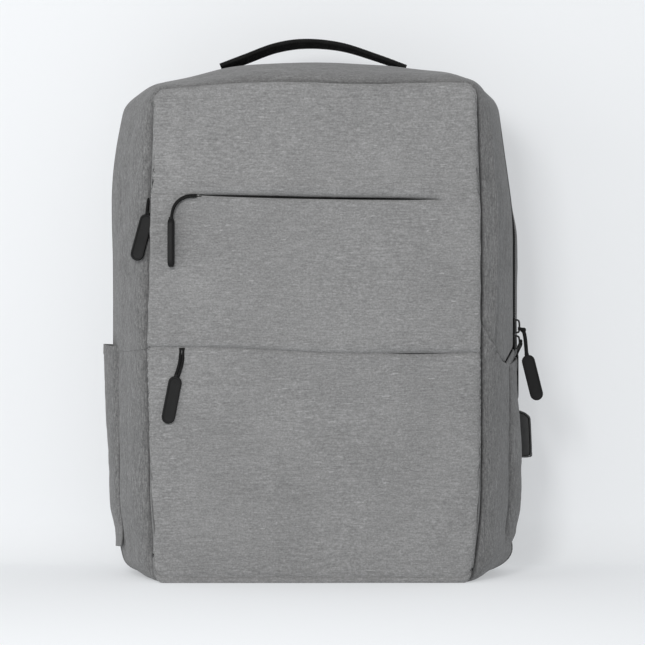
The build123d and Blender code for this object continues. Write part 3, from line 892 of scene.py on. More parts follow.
def hinge_height(v, side):
    """Height of the seam across the side where the main flap folds."""
    line = HINGE_LINES[side]
    for (a, za), (b, zb) in zip(line, line[1:]):
        if a <= v <= b:
            return za + (zb - za) * (v - a) / (b - a)
    return line[-1][1]


FINE_ENDS = (0.002, 0.006, 0.012)    # extra grid rows beside a seam
V_STEPS = sorted(set(steps(44, (0.004, 0.012, 0.02)) + [round(0.35 + 0.006 * k, 4) for k in range(26)]))


def gusset(name, t0, t1, body, nodes, material, ends, count=110, t0_at=None, t1_at=None):
    """Front gusset between two shares of the outline; an end may be given as a function of v.

    ends says how far the cloth is drawn in at each end; below zero it laps over its neighbour."""
    def point(u, v):
        a = t0_at(v) if t0_at else t0
        b = t1_at(v) if t1_at else t1
        t = a + (b - a) * u
        p, facing = gusset_base(t, v)
        right = p.x > 0
        side = smooth((abs(p.x) - 125) / 12)
        span = abs(b - a) * OUTLINE
        drawn = side * side_creases(p, v, right)
        drawn += 0.9 * groove(v * GUSSET_WIDTH, 1.5) + 0.8 * groove((1 - v) * GUSSET_WIDTH, 1.5)
        hem = POCKET_HEMS["right" if right else "left"]
        beside = smooth((hem - p.z) / 6) * smooth((p.z - POCKET_LOW) / 6)
        drawn += 2.6 * beside * groove(p.y - POCKET_Y[0] + 1.5, 1.3)
        for end, far in zip(ends, (u * span, (1 - u) * span)):
            drawn += end * groove(far, 1.4 if end > 0 else 5.0) + (1.2 * groove(far, 0.5) if end < 0 else 0)
        loose = math.sin(math.pi * min(max(v, 0.02), 0.98))
        loose *= 1 - smooth((p.y + 18) / 6) * smooth((200 - p.z) / 10)
        p = p + facing * (loose * (0.6 + 1.3 * fbm(p, 46, 3) + 0.6 * fbm(p, 17, 5)) - drawn)
        p.z = max(p.z, CLOTH)
        return p

    obj = sheet_object(name, steps(count, FINE_ENDS), V_STEPS, point, flip=True)
    return finished(obj, material, body, nodes)


def seam_share(side, v):
    """Share round the outline at which the gusset, v of the way back, reaches the seam's height."""
    low, high = T_BASE, T_TOP
    for _ in range(24):
        t = (low + high) / 2
        p, _ = gusset_base(t if side == "right" else 1 - t, v)
        if p.z < hinge_height(v, side):
            low = t
        else:
            high = t
    return low


share_table = {(side, round(v, 6)): seam_share(side, v) for side in HINGE_LINES for v in V_STEPS}


def right_fold(v):
    return share_table["right", round(v, 6)]


def left_fold(v):
    return 1 - share_table["left", round(v, 6)]


GAP, FINE_GAP = 0.0006, 0.00004
gusset("gusset_front_right", 0, T_TOP, "flap", "front_gusset_right", SHADED_SIDE_CLOTH,
       (3.6, 0.2), t0_at=lambda v: right_fold(v) + GAP)
gusset("gusset_front_left", 1 - T_TOP, 0, "flap", "front_gusset_left", SHADED_SIDE_CLOTH,
       (0.2, 0.0), t1_at=lambda v: left_fold(v) - FINE_GAP)
gusset("gusset_front_top", T_TOP, 1 - T_TOP, "flap", "front_gusset_top", SHADED_TOP_CLOTH,
       (0.2, 0.2), count=120)
gusset("gusset_lower_right", T_BASE, 0, "shell", "front_gusset_lower_right", SHADED_SIDE_CLOTH,
       (0.8, -1.6), t1_at=lambda v: right_fold(v) - GAP)
gusset("gusset_lower_left", 0, 1 - T_BASE, "shell", "front_gusset_lower_left", SHADED_SIDE_CLOTH,
       (0.0, 0.8), t0_at=lambda v: left_fold(v) + FINE_GAP)


def rear_band(side, t0, t1, material, count):
    """Rear gusset from the main zip to the back panel."""
    def point(u, v):
        t = t0 + (t1 - t0) * u
        y = ZIP_REAR_Y + (REAR_Y - ZIP_REAR_Y + 0.5) * v
        p, n = girth(t, y), outward(t, y)
        span = abs(t1 - t0) * OUTLINE
        off = 1.1 * math.sin(math.pi * v)
        off = off - 0.9 * groove(v * REAR_WIDTH, 1.3) - 0.9 * groove((1 - v) * REAR_WIDTH, 1.6)
        off -= 0.8 * groove(u * span, 1.3) + 0.8 * groove((1 - u) * span, 1.3)
        off += math.sin(math.pi * v) * (0.7 * fbm((p.x, y, p.y), 50, 6) + 0.35 * fbm((p.x, y, p.y), 18, 7))
        off += 3.2 * zip_lift(p) * groove(v - 0.2, 0.2)
        low = smooth((p.y - 1) / 6)
        p = p + n * off * low
        return (p.x, y, max(p.y, CLOTH))

    name = f"gusset_rear_{side}"
    obj = sheet_object(name, steps(count, FINE_ENDS), steps(30, (0.01, 0.03)), point, flip=True)
    finished(obj, material, "shell", f"rear_gusset_{side}")


rear_band("right", T_BASE, T_TOP, SHADED_SIDE_CLOTH, 150)
rear_band("left", 1 - T_TOP, 1 - T_BASE, SHADED_SIDE_CLOTH, 150)
rear_band("top", T_TOP, 1 - T_TOP, SHADED_TOP_CLOTH, 110)

under_zip_lo = box_mm("main_zip_rear_tape")[0].z


def zip_gap_cover(name, t0, t1, body):
    """Strip of side cloth below the main zip's end, between the two gussets."""
    def point(u, v):
        t = t0 + (t1 - t0) * u
        y = ZIP_FRONT_Y - 0.6 + (ZIP_REAR_Y - ZIP_FRONT_Y + 1.2) * v
        p = girth(t, y) + outward(t, y) * (0.25 - 0.7 * groove((v - 0.5) * 8, 1.0))
        return (p.x, y, max(p.y, CLOTH))

    obj = sheet_object(name, steps(80), steps(10), point, flip=True)
    return finished(obj, SHADED_SIDE_CLOTH, body)


T_ZIP_END = side_share(under_zip_lo)
zip_gap_cover("under_zip_right", T_BASE, T_ZIP_END, "shell")
zip_gap_cover("under_zip_left", 1 - T_ZIP_END, 1 - T_BASE, "shell")

# ---- base -----------------------------------------------------------------------------------------

def base_point(u, v):
    """Point of the base: u runs across it, v from the front panel back."""
    t = 1 - T_BASE + 2 * T_BASE * u
    y = RIM_Y + 0.3 + (REAR_Y - RIM_Y) * v
    p = on_loop(FRONT_LOOP, t).lerp(girth(t % 1.0, y), smooth((y - FRONT_BACK_Y) / 14))
    rise = 1.2 * groove((y - FRONT_BACK_Y), 1.5) + 1.4 * groove(v * 130, 3)
    return (p.x, y, max(p.y, 0) + rise)


base = sheet_object("base_cloth", steps(90), steps(60), base_point, thick=-CLOTH, flip=True)
finished(base, SHADED_TOP_CLOTH, "shell", "bottom_panel")

# ---- main zip -------------------------------------------------------------------------------------

def zip_share(y):
    """How far back a depth lies across the main zip, from 0 to 1."""
    return (y - ZIP_FRONT_Y) / (ZIP_REAR_Y - ZIP_FRONT_Y)


def zip_run(name, y0, y1, t0, t1, body, nodes):
    """One tape of the main zip with its row of teeth."""
    def point(u, v):
        t = t0 + (t1 - t0) * u
        y = y0 + (y1 - y0) * v
        p = girth(t, y)
        p += outward(t, y) * (zip_lift(p) * (1.0 + 1.2 * zip_share(y)) - 1.0 - 0.15 * math.cos(v * 12))
        return (p.x, y, p.y)

    tape = sheet_object(name, steps(260), steps(6), point, thick=0.8, flip=True)
    finished(tape, TAPE, body, nodes)
    length = (t1 - t0) * OUTLINE
    number = int(length / 2.0)
    edge = y1 if abs(y1 - ZIP_Y) < abs(y0 - ZIP_Y) else y0
    away = -1 if edge < ZIP_Y else 1
    verts, faces = [], []
    for k in range(number):
        t = t0 + (t1 - t0) * (k + 0.25 + 0.25 * (away > 0)) / number
        p, n = girth(t, edge), outward(t, edge)
        p += n * zip_lift(p) * (1.0 + 1.2 * zip_share(edge))
        along = Vector((-n.y, n.x))
        base_index = len(verts)
        for h in (-0.9, 0.9):
            for a, y in ((-0.6, edge - away * 0.5), (0.6, edge - away * 0.5), (0.75, edge + away * 1.5),
                         (-0.75, edge + away * 1.5)):
                q = p + along * a * (1 if h < 0 else 0.7) + n * (h - 0.1)
                verts.append((q.x, y if h < 0 else y - away * 0.15, q.y))
        b = base_index
        faces += [(b, b + 3, b + 2, b + 1), (b + 4, b + 5, b + 6, b + 7)]
        faces += [(b + i, b + (i + 1) % 4, b + 4 + (i + 1) % 4, b + 4 + i) for i in range(4)]
    teeth = mesh_object(name + "_teeth", verts, faces)
    finished(teeth, TEETH, body, smooth_faces=False)


zip_run("main_zip_front", ZIP_FRONT_Y - 1.0, ZIP_Y - 0.25, T_SPLIT + 0.001, 1 - T_SPLIT - 0.001, "flap",
        "main_zip_front_tape")
zip_run("main_zip_rear", ZIP_Y + 0.25, ZIP_REAR_Y + 1.0, T_ZIP_END, 1 - T_ZIP_END, "shell",
        "main_zip_rear_tape")

# ---- side pockets ---------------------------------------------------------------------------------


def gusset_reach(side, y):
    """How far out the front gusset lies at depth y, as a share of its width."""
    line = [q for q in profile_lines[side] if q.x > PROFILE_REACH / 2]
    for a, b in zip(line, line[1:]):
        if a.y <= y <= b.y:
            return (a.x + (b.x - a.x) * (y - a.y) / (b.y - a.y)) / PROFILE_REACH
    return 1.0


def side_pocket(side, sign, hem):
    """Patch pocket: sewn down at its front, rear and foot, standing open at the hem."""
    shares = {}

    def point(u, v):
        key = round(u, 5)
        if key not in shares:
            shares[key] = side_share(POCKET_LOW + (hem - POCKET_LOW) * u)
        t = shares[key]
        y = POCKET_Y[0] + (POCKET_Y[1] - POCKET_Y[0]) * v
        p, n = girth(t, y), outward(t, y)
        z = p.y
        if y < ZIP_FRONT_Y:
            under = on_loop(FRONT_LOOP, t).lerp(girth(t, ZIP_FRONT_Y), gusset_reach(side, y))
            p.x = max(p.x, under.x)
        arch = (1 - abs(2 * v - 1) ** 3.2)
        if sign < 0:
            stand = 1.4 + 4.4 * smooth((z - 70) / 110)
        else:
            stand = 0.9 + 3.9 * (1 - smooth((z - 95) / 80))
        off = stand * arch * smooth(u * 14) - 0.8
        off += 2.4 * smooth(v * 22) * smooth((1 - v) * 22) * smooth(u * 5)
        off += arch * (0.5 * fbm((p.x, y, z), 30, 8 + sign) + 0.25 * fbm((p.x, y, z), 12, 9))
        off += arch * (0.5 * smooth((z - hem + 10.5) / 1.5) - 0.5 * groove((hem - z) - 9.5, 0.8))
        slope = -5.0 * (1 - v) * smooth((u - 0.75) / 0.25) if sign > 0 else 0.0
        p = p + n * off
        return (sign * p.x, y, p.y + slope)

    obj = sheet_object(f"pocket_{side}", steps(90, (0.995,)), steps(36, (0.01, 0.03)), point, thick=1.3,
                       flip=sign > 0)
    finished(obj, SHADED_SIDE_CLOTH, "shell", f"side_pocket_{side}")
    hem_line = []
    for k in range(41):
        x, y, z = point(0.955, 0.04 + 0.92 * k / 40)
        hem_line.append((x + sign * 0.15, y, z))
    row = stitches(f"pocket_{side}_stitches", hem_line, (sign, 0, 0), 2.2, 1.2, 0.22)
    finished(row, GREY_THREAD, "shell")


side_pocket("left", -1, POCKET_HEMS["left"])
side_pocket("right", 1, POCKET_HEMS["right"])

# ---- back panel and pads --------------------------------------------------------------------------

def back_point(u, v):
    """Back face in rings: u is the share round, v runs from the edge seam to the middle."""
    p = girth(u, REAR_Y)
    centre = Vector((0, 205))
    if v < 0.12:
        s = v / 0.12
        angle = s * math.pi / 2
        q = p - outward(u, REAR_Y) * (3.0 * (1 - math.cos(angle)))
        return (q.x, REAR_Y + 0.4 + (BACK_Y - REAR_Y - 1.4) * math.sin(angle), max(q.y, 0.0))
    s = (v - 0.12) / 0.88
    edge = p - outward(u, REAR_Y) * 3.0
    q = edge.lerp(centre, s)
    inside = (edge - centre).length * s
    y = BACK_Y - 1.0 - 0.9 * groove(inside - 6, 1.2) + 0.35 * fbm((q.x, 0, q.y), 60, 11)
    return (q.x, y, max(q.y, 0.0))


back = sheet_object("back_cloth", steps(300), steps(50), back_point, thick=-CLOTH)
finished(back, SHADED_SIDE_CLOTH, "shell", "back_panel")
piping = [Vector((girth(k / 160, REAR_Y).x, REAR_Y + 0.5, girth(k / 160, REAR_Y).y))
          + Vector((outward(k / 160, REAR_Y).x, 0, outward(k / 160, REAR_Y).y)) * 0.4 for k in range(160)]
piping = [Vector((p.x, p.y, max(p.z, 1.6))) for p in piping]
finished(tube_curve("back_piping", piping, 1.5, closed=True), WEB, "shell")


def quilted_pad(name, x0, x1, z0, z1, height, channels, nodes=()):
    """Padded panel on the back, with sewn channels across it."""
    wide, tall = x1 - x0, z1 - z0
    cols, rows = max(8, int(wide / 4)), max(8, int(tall / 4))

    def point(u, v):
        x, z = x0 + wide * u, z0 + tall * v
        d = min(u * wide, (1 - u) * wide, v * tall, (1 - v) * tall)
        rise = height * (1 - (1 - min(d / 13, 1)) ** 2.4)
        for c in channels:
            rise -= height * 0.55 * groove(z - c, 2.6) * smooth(d / 10)
        rise += 0.4 * fbm((x, 0, z), 24, 12) * smooth(d / 10)
        return Vector((x, BACK_Y - 0.6 + rise, z))

    us, vs = steps(cols, (0.01, 0.03)), steps(rows, (0.005, 0.015))
    verts = [point(u, v) for u in us for v in vs]
    width = len(vs)
    under = len(verts)
    verts += [Vector((p.x, BACK_Y - 1.4, p.z)) for p in verts[:]]
    faces = []
    for i in range(len(us) - 1):
        for j in range(width - 1):
            a = i * width + j
            faces.append((a, a + 1, a + width + 1, a + width))
            faces.append((under + a + width, under + a + width + 1, under + a + 1, under + a))
    rim = ([j for j in range(width)] + [i * width + width - 1 for i in range(1, len(us))]
           + [(len(us) - 1) * width + j for j in range(width - 2, -1, -1)]
           + [i * width for i in range(len(us) - 2, 0, -1)])
    for a, b in zip(rim, rim[1:] + rim[:1]):
        faces.append((a, under + a, under + b, b))
    obj = mesh_object(name, verts, faces)
    group = obj.vertex_groups.new(name="pin")
    held = [v.index for v in obj.data.vertices if v.co.y < (BACK_Y + 0.2) * MM
            or min(abs(v.co.z / MM - c) for c in channels) < 2.2]
    group.add(held, 1.0, "REPLACE")
    inflate(obj, 3.0, 2.2)
    obj.vertex_groups.clear()
    finished(obj, MESH, "shell", nodes)


pads_lo = box_mm("back_pads")[0]
quilted_pad("back_pad_left", -118, -12, 128, 350, 6.0, [172, 217, 262, 307], "back_pads")
quilted_pad("back_pad_right", 12, 118, 128, 350, 6.0, [172, 217, 262, 307])
quilted_pad("lumbar_pad", -118, 118, pads_lo.z + 1, 116, 6.0, [80])

# ---- shoulder straps ------------------------------------------------------------------------------
STRAP_X, STRAP_WIDTH, STRAP_THICK, STRAP_TOP_Z = 52.0, 66.0, 11.0, 396.0
STRAP_ROUTE = [(71.5, 391), (90, 400), (106, 386), (114, 340), (114, 280), (109, 215), (100, 150)]
STRAP_SPLAY = math.radians(7)
WEB_WIDTH, WEB_THICK = 24.0, 1.6


def splayed(sign, x, y, z):
    """Point of a strap, turned outwards about the strap's top."""
    p = Matrix.Rotation(-sign * STRAP_SPLAY, 3, "Y") @ Vector((x, y, z - STRAP_TOP_Z))
    return Vector((p.x + sign * STRAP_X, p.y, p.z + STRAP_TOP_Z))


def strap_line(sign, points):
    """Splayed points of a strap from (depth, height) pairs."""
    return [splayed(sign, 0, y, z) for y, z in points]


LOOP_ROUTE = [(101, 152), (99, 138), (97.4, 120)]
LOW_ROUTE = [(94.6, 104), (92.0, 94), (84, 64), (78, 42), (72.8, 22), (71.6, 14)]
TAIL_ROUTE = [(102.6, 99.5), (104.0, 80), (105.0, 56), (104.4, 34), (103.2, 16)]



def strap_across(sign):
    """Direction across a strap."""
    return Matrix.Rotation(-sign * STRAP_SPLAY, 3, "Y") @ Vector((1, 0, 0))


def strap_web(name, sign, points, count):
    """Length of the straps' narrow webbing."""
    return ribbon(name, points, strap_across(sign), WEB_WIDTH, WEB_THICK, count, ribs=4, rib=0.15)


def padded_strap(side, sign):
    """Padded part of a strap, bound along both edges, with webbing sewn down its middle."""
    across = strap_across(sign)
    route = strap_line(sign, STRAP_ROUTE)
    body = f"{side}_strap"
    pad = ribbon(f"strap_pad_{side}", route, across, STRAP_WIDTH - 3, STRAP_THICK * 0.62, 90, crown=1.9)
    finished(pad, MESH, body, f"shoulder_strap_{side}")
    line = through(route, 90)
    for edge, place in ((-1, "in"), (1, "out")):
        binding = [p + across * edge * (STRAP_WIDTH / 2 - 1.8) for p in line[::6]]
        finished(tube_curve(f"strap_binding_{side}_{place}", binding, 1.9), WEB, body)
    crest = [p + (p - splayed(sign, 0, 60, p.z)).normalized() * 5.6 for p in line[14:88:6]]
    centre = ribbon(f"strap_centre_{side}", crest, across, 22, 1.4, 70, ribs=5, rib=0.18)
    finished(centre, WEB, body)


def strap_webbing(side, sign):
    """Webbing below the pad: the loop over the ladder lock, the run to the anchor and the loose tail."""
    body = f"{side}_strap"
    loop = strap_web(f"strap_loop_{side}", sign, strap_line(sign, LOOP_ROUTE), 14)
    finished(loop, WEB, body)
    low = strap_line(sign, LOW_ROUTE)
    web = strap_web(f"strap_web_{side}", sign, low, 50)
    painted(web, WEB)
    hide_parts(f"strap_webbing_{side}")
    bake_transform(web)
    tail = strap_web(f"tail_{side}", sign, strap_line(sign, TAIL_ROUTE), 44)
    finished(tail, WEB, f"{side}_tail", f"webbing_tail_{side}")
    repainted(f"ladder_lock_{side}", ACETAL)


def strap_anchor(side, sign):
    """Sewn patch that holds the webbing's lower end."""
    foot = splayed(sign, 0, BACK_Y, 20)
    corners = [(-15, 9), (15, 9), (12, 31), (-12, 31)]
    points = [(foot.x + x, BACK_Y - 0.8 + y, z) for y in (0, 3.2) for x, z in corners]
    faces = [(0, 1, 2, 3), (7, 6, 5, 4)] + [(k, k + 4, (k + 1) % 4 + 4, (k + 1) % 4) for k in range(4)]
    anchor = bevelled(mesh_object(f"anchor_{side}", points, faces), 1.0)
    finished(anchor, WEB, "shell", "strap_anchors" if sign < 0 else ())
    box = ((-10, 12), (10, 12), (8.5, 27), (-8.5, 27), (-10, 12))
    line = [(foot.x + x, BACK_Y + 2.5, z) for x, z in box]
    finished(stitches(f"anchor_{side}_stitches", line, (0, 1, 0)), DARK_THREAD, "shell")


for strap_side, strap_sign in (("left", -1), ("right", 1)):
    padded_strap(strap_side, strap_sign)
    strap_webbing(strap_side, strap_sign)
    strap_anchor(strap_side, strap_sign)

sleeve_lo, sleeve_hi = box_mm("luggage_strap")
sleeve_half = [(0, 85.6), (100, 85.2), (116, 82), (126, BACK_Y + 1.6), (133, BACK_Y + 0.9)]
sleeve_line = [(-x, y, 240) for x, y in reversed(sleeve_half[1:])] + [(x, y, 240) for x, y in sleeve_half]
sleeve = ribbon("luggage_sleeve", sleeve_line, (0, 0, 1), sleeve_hi.z - sleeve_lo.z, 2.2, 110)
finished(sleeve, SHADED_SIDE_CLOTH, "shell", "luggage_strap")
for z in (sleeve_lo.z + 4, sleeve_hi.z - 4):
    line = [(x, 86.9, z) for x in range(-96, 97, 12)]
    row = stitches(f"sleeve_stitches_{int(z)}", line, (0, 1, 0), 2.6, 1.4, 0.25)
    finished(row, DARK_THREAD, "shell")

# ---- handle ---------------------------------------------------------------------------------------
handle_lo, handle_hi = box_mm("top_handle")
handle_y = (handle_lo.y + handle_hi.y) / 2
HANDLE_ROUTE = [(-79, 428.5), (-58, 436.5), (-32, 446.0), (-6, 449.6), (24, 446.8), (54, 437.6),
                (79, 428.5)]
handle_width = handle_hi.y - handle_lo.y
handle_line = [(x, handle_y, z) for x, z in HANDLE_ROUTE]
handle = ribbon("handle_webbing", handle_line, (0, 1, 0), handle_width, 5.0, 240, ribs=6, rib=0.25,
                notch=0.3, tilt=lambda s: -math.radians(10) * (1 - smooth((s - 0.35) / 0.6)))
finished(handle, WEB, "handle", "top_handle")
smooth_line = through(handle_line, 60)
for k, offset in (("front", -0.36), ("back", 0.36)):
    line = [Vector((p.x, p.y + offset * handle_width, p.z + 2.35)) for p in smooth_line[20:58]]
    row = stitches(f"handle_stitches_{k}", line, (0, 0, 1), 2.6, 2.0, 0.3)
    finished(row, THREAD, "handle")

patch_lo, patch_hi = box_mm("handle_patches")
PATCH_X, PATCH_SIZE = 65.0, 26.0    # distance of a patch from the middle, and its width


def handle_patch(side, sign):
    """Patch that holds one end of the handle."""
    def point(u, v):
        x = PATCH_X + PATCH_SIZE * u
        y = patch_lo.y + (patch_hi.y - 1 - patch_lo.y) * v
        t = share_at(ZIP_LOOP, lambda p: p.x <= x, 0.3)
        p = girth(t, min(y, REAR_Y))
        d = min(u, 1 - u, v, 1 - v) * PATCH_SIZE
        return (sign * x, y, p.y + 0.4 + 1.6 * smooth(d / 2))

    patch = sheet_object(f"handle_patch_{side}", steps(26), steps(26), point, thick=1.2, flip=sign > 0)
    finished(patch, WEB, "shell", "handle_patches" if sign < 0 else ())


handle_patch("left", -1)
handle_patch("right", 1)

# ---- pulls ----------------------------------------------------------------------------------------
TAB_LENGTH, TAB_WIDTH, TAB_POINTS = 39.0, 11.0, 96
STRAND_GAP = 2.3
# Ring offsets in from the tab's outline, with the height of each above the tab's middle plane.
TAB_RINGS = [(0.0, 0.0), (0.0, 1.15), (0.18, 1.75), (0.6, 2.15), (1.1, 2.2), (1.45, 2.12), (1.7, 1.85),
             (2.3, 1.8)]


def centre_of(node):
    """Middle of a CAD node's box, in millimetres."""
    lo, hi = box_mm(node)
    return (lo + hi) / 2


def stadium(length, width):
    """Points round a slot shape whose length runs along Z."""
    r = width / 2
    straight = length - width
    out = []
    total = 2 * straight + 2 * math.pi * r
    for k in range(TAB_POINTS):
        s = total * k / TAB_POINTS
        if s < straight:
            out.append((r, -straight / 2 + s))
        elif s < straight + math.pi * r:
            a = (s - straight) / r
            out.append((r * math.cos(a), straight / 2 + r * math.sin(a)))
        elif s < 2 * straight + math.pi * r:
            out.append((-r, straight / 2 - (s - straight - math.pi * r)))
        else:
            a = math.pi + (s - 2 * straight - math.pi * r) / r
            out.append((r * math.cos(a), -straight / 2 + r * math.sin(a)))
    return out


def pull_tab(name, node, body, lean, twist=0.0, facing=0.0, shift=(0, 0, 0)):
    """Moulded tab with a raised rim and a milled edge, where the CAD has it."""
    turn = (Matrix.Rotation(math.radians(facing), 3, "Z") @ Matrix.Rotation(math.radians(-lean), 3, "Y")
            @ Matrix.Rotation(math.radians(twist), 3, "Z"))
    centre = centre_of(node) + Vector(shift)
    count = TAB_POINTS
    verts, faces = [], []
    rings = [(o, -h) for o, h in reversed(TAB_RINGS)] + TAB_RINGS[1:]
    for offset, height in rings:
        milled = 0.16 if abs(height) < 1.2 else 0.0
        for k, (x, z) in enumerate(stadium(TAB_LENGTH - 2 * offset, TAB_WIDTH - 2 * offset)):
            shrink = 1 - milled * (k % 2) / (TAB_WIDTH / 2)
            verts.append(centre + turn @ Vector((x * shrink, height, z)))
    for i in range(len(rings) - 1):
        for k in range(count):
            a, b = i * count + k, i * count + (k + 1) % count
            faces.append((a, b, b + count, a + count))
    last = (len(rings) - 1) * count
    edge = [z for _, z in stadium(TAB_LENGTH, TAB_WIDTH)]
    for start, h in ((0, -1.75), (last, 1.75)):
        middle = len(verts)
        verts += [centre + turn @ Vector((0, h, z)) for z in (-12, 0, 12)]
        for k in range(count):
            a, b = start + k, start + (k + 1) % count
            ia, ib = [middle + (0 if z < -6 else 2 if z > 6 else 1) for z in (edge[k], edge[(k + 1) % count])]
            faces.append((a, b, ib) if ia == ib else (a, b, ib, ia))
    obj = mesh_object(name, verts, faces)
    finished(obj, RUBBER, body, node)
    top = centre + turn @ Vector((0, 0, TAB_LENGTH / 2))
    collar = tube_curve(name + "_collar", [top + turn @ Vector((0, 0, z)) for z in (-1.2, 0.2, 1.4)], 1.9)
    finished(collar, RUBBER, body)


def pull_cord(name, node, body, points, across):
    """Two braided strands side by side."""
    offset = Vector(across).normalized() * STRAND_GAP / 2
    for k, sign in enumerate((-1, 1)):
        strand = tube_curve(f"{name}_{k}", [Vector(p) + offset * sign for p in points], 1.3)
        finished(strand, CORD, body, node if k == 0 else ())


def flat_slider(name, node, body, out, shift=(0, 0, 0)):
    """Slider of a pocket zip: rounded plate and its bridge."""
    lo, hi = [v + Vector(shift) for v in box_mm(node)]
    c = (lo + hi) / 2
    size = hi - lo
    obj = block(name, lo, hi, min(size) * 0.3)
    finished(obj, LACQUER, body, node)
    long_axis = Vector((1, 0, 0)) if size.x > size.z else Vector((0, 0, 1))
    reach = max(size.x, size.z) / 2
    out = Vector(out)
    bow = ((-0.8, 0.5), (-0.7, 1.7), (0, 2.3), (0.7, 1.7), (0.8, 0.5))
    arch = [c + long_axis * reach * a + out * h for a, h in bow]
    finished(tube_curve(name + "_bridge", arch, 0.55), LACQUER, body)


def pocket_pull(key, out, points, across, lean, twist=0.0, shift=(0, 0, 0), tab_shift=(0, 0, 0)):
    """Slider of a pocket zip with its cord, along the given points, and its tab."""
    flat_slider(f"{key}_slider_body", f"{key}_zip_slider", f"{key}_slider", out, shift)
    pull_cord(f"{key}_cord", f"{key}_pull_cord", f"{key}_pull", points, across)
    pull_tab(f"{key}_tab", f"{key}_pull_tab", f"{key}_pull", lean, twist=twist, shift=tab_shift)


s = centre_of("upper_zip_slider")
upper_route = [(s.x - 1, -73.6, s.z + 0.4), (s.x - 6, -73.9, s.z + 0.5), (s.x - 12, -74.3, s.z - 0.8),
               (s.x - 18, -75.2, s.z - 5.5), (s.x - 20.8, -76.6, s.z - 12), (s.x - 21.4, -77.0, s.z - 19)]
pocket_pull("upper", (0, -1, 0), upper_route, (0, 1, 0.3), 0, twist=84, tab_shift=(0, -1.3, 0))
s = centre_of("lower_zip_slider")
lower_route = [(s.x, -71.6, s.z + 3.6), (s.x - 0.2, -72.6, s.z - 5), (s.x - 1.6, -73.0, s.z - 12),
               (s.x - 4.2, -73.1, s.z - 19.5)]
pocket_pull("lower", (0, -1, 0), lower_route, (1, 0, 0), -11)

# The side zip sits on the front section's left wall, which the side has pulled inwards.
s = centre_of("side_zip_slider")
inward = Vector((left_trim(s.z), -1.2, 0))
s += inward
side_route = [(s.x - 1.6, s.y - 0.4, s.z + 4), (s.x - 1.9, s.y - 2.6, s.z - 4),
              (s.x - 3.2, s.y - 4.2, s.z - 13)]
pocket_pull("side", (-1, 0, 0), side_route, (0, 1, 0.1), -15, shift=inward,
            tab_shift=inward + Vector((0, 0, -3)))


def side_tape_point(u, v):
    """Point of the side zip's tape, inside its opening."""
    z = slot_lo.z + (slot_hi.z - slot_lo.z) * u
    y = slot_lo.y + (slot_hi.y - slot_lo.y) * v
    return (-front_half_width(z) + left_trim(z) + 0.9 - 0.5 * groove((v - 0.5) * 5, 0.8), y, z)


side_tape = sheet_object("side_zip_band", steps(40), steps(12), side_tape_point, thick=0.6)
finished(side_tape, TAPE, "flap", "side_zip_tape")


def main_slider(name, node, body):
    """Cast slider of the main zip, with a bail standing off it."""
    lo, hi = box_mm(node)
    c = (lo + hi) / 2
    plate = block(name, lo, (lo.x + 2.0, hi.y, hi.z), 0.8)
    finished(plate, LACQUER, body, node)
    top = lo.x + 1.6
    bail = [(top, c.y, c.z - 5.4), (top + 2.6, c.y, c.z - 5.6), (hi.x - 0.2, c.y, c.z - 3.6),
            (hi.x, c.y, c.z + 1.5), (top + 2.8, c.y, c.z + 5.4), (top, c.y, c.z + 5.2)]
    finished(tube_curve(name + "_bail", bail, 0.8), LACQUER, body)


main_slider("main_slider_upper_body", "main_upper_slider", "main_slider_upper")
main_slider("main_slider_lower_body", "main_lower_slider", "main_slider_lower")
c = centre_of("main_upper_slider")
x = box_mm("main_upper_slider")[0].x + 6.5
pull_cord("main_upper_cord", "main_upper_pull_cord", "main_pull_upper",
          [(x - 2.4, ZIP_Y, c.z - 2), (x + 0.8, ZIP_Y - 0.2, c.z - 2.2), (x + 2.8, ZIP_Y - 0.6, c.z - 6),
           (x + 3.8, ZIP_Y - 1.2, c.z - 14), (x + 4.6, ZIP_Y - 1.6, c.z - 25)], (0.4, 1, 0))
knot = [(x + 1.7 + 1.3 * math.cos(a), ZIP_Y - 0.4 + 1.9 * math.sin(a), c.z - 3.2 + 1.0 * math.sin(2 * a))
        for a in [k * math.pi / 4 for k in range(8)]]
finished(tube_curve("main_upper_knot", knot, 1.25, closed=True), CORD, "main_pull_upper")
pull_tab("main_upper_tab", "main_upper_pull_tab", "main_pull_upper", 14)
c = centre_of("main_lower_slider")
pull_cord("main_lower_cord", "main_lower_pull_cord", "main_pull_lower",
          [(x, ZIP_Y + 1.5, c.z), (x + 0.6, ZIP_Y + 10, c.z - 1.5), (x - 0.2, ZIP_Y + 20, c.z - 4.0),
           (x - 1.2, ZIP_Y + 28, c.z - 8.0)], (0, 0.3, 1))
pull_tab("main_lower_tab", "main_lower_pull_tab", "main_pull_lower", 0, facing=90, shift=(2.6, 0, 0))

# ---- charging port --------------------------------------------------------------------------------
port_lo, port_hi = box_mm("port_housing")
shown_nodes = {"port_housing": PORT_BODY, "port_socket": NICKEL, "port_clamp_plate": ACETAL,
               "laptop_divider": LINING, "power_bank_pocket": LINING, "upper_pocket_lining": LINING,
               "lower_pocket_lining": LINING, "upper_zip_tape": TAPE, "lower_zip_tape": TAPE}
for shown_node, shown_material in shown_nodes.items():
    repainted(shown_node, shown_material)

outline = [(port_lo.x + 3.4, port_lo.z + 0.6), (port_hi.x - 0.9, port_lo.z + 0.6),
           (port_hi.x - 2.3, port_hi.z - 10.3), (port_hi.x - 6.4, port_hi.z - 6.7),
           (port_lo.x + 3.4, port_hi.z - 2.2)]
for k, y in (("front", port_lo.y + 0.1), ("rear", port_hi.y - 0.1)):
    rim = [Vector((px, y, pz)) for px, pz in outline]
    dense = []
    for a, b in zip(rim, rim[1:]):
        dense += [a.lerp(b, 0.08), a.lerp(b, 0.5), a.lerp(b, 0.92)]
    tube = tube_curve(f"port_rim_{k}", [rim[0]] + dense + [rim[-1]], 1.1)
    finished(tube, PORT_GLOSS, "shell")

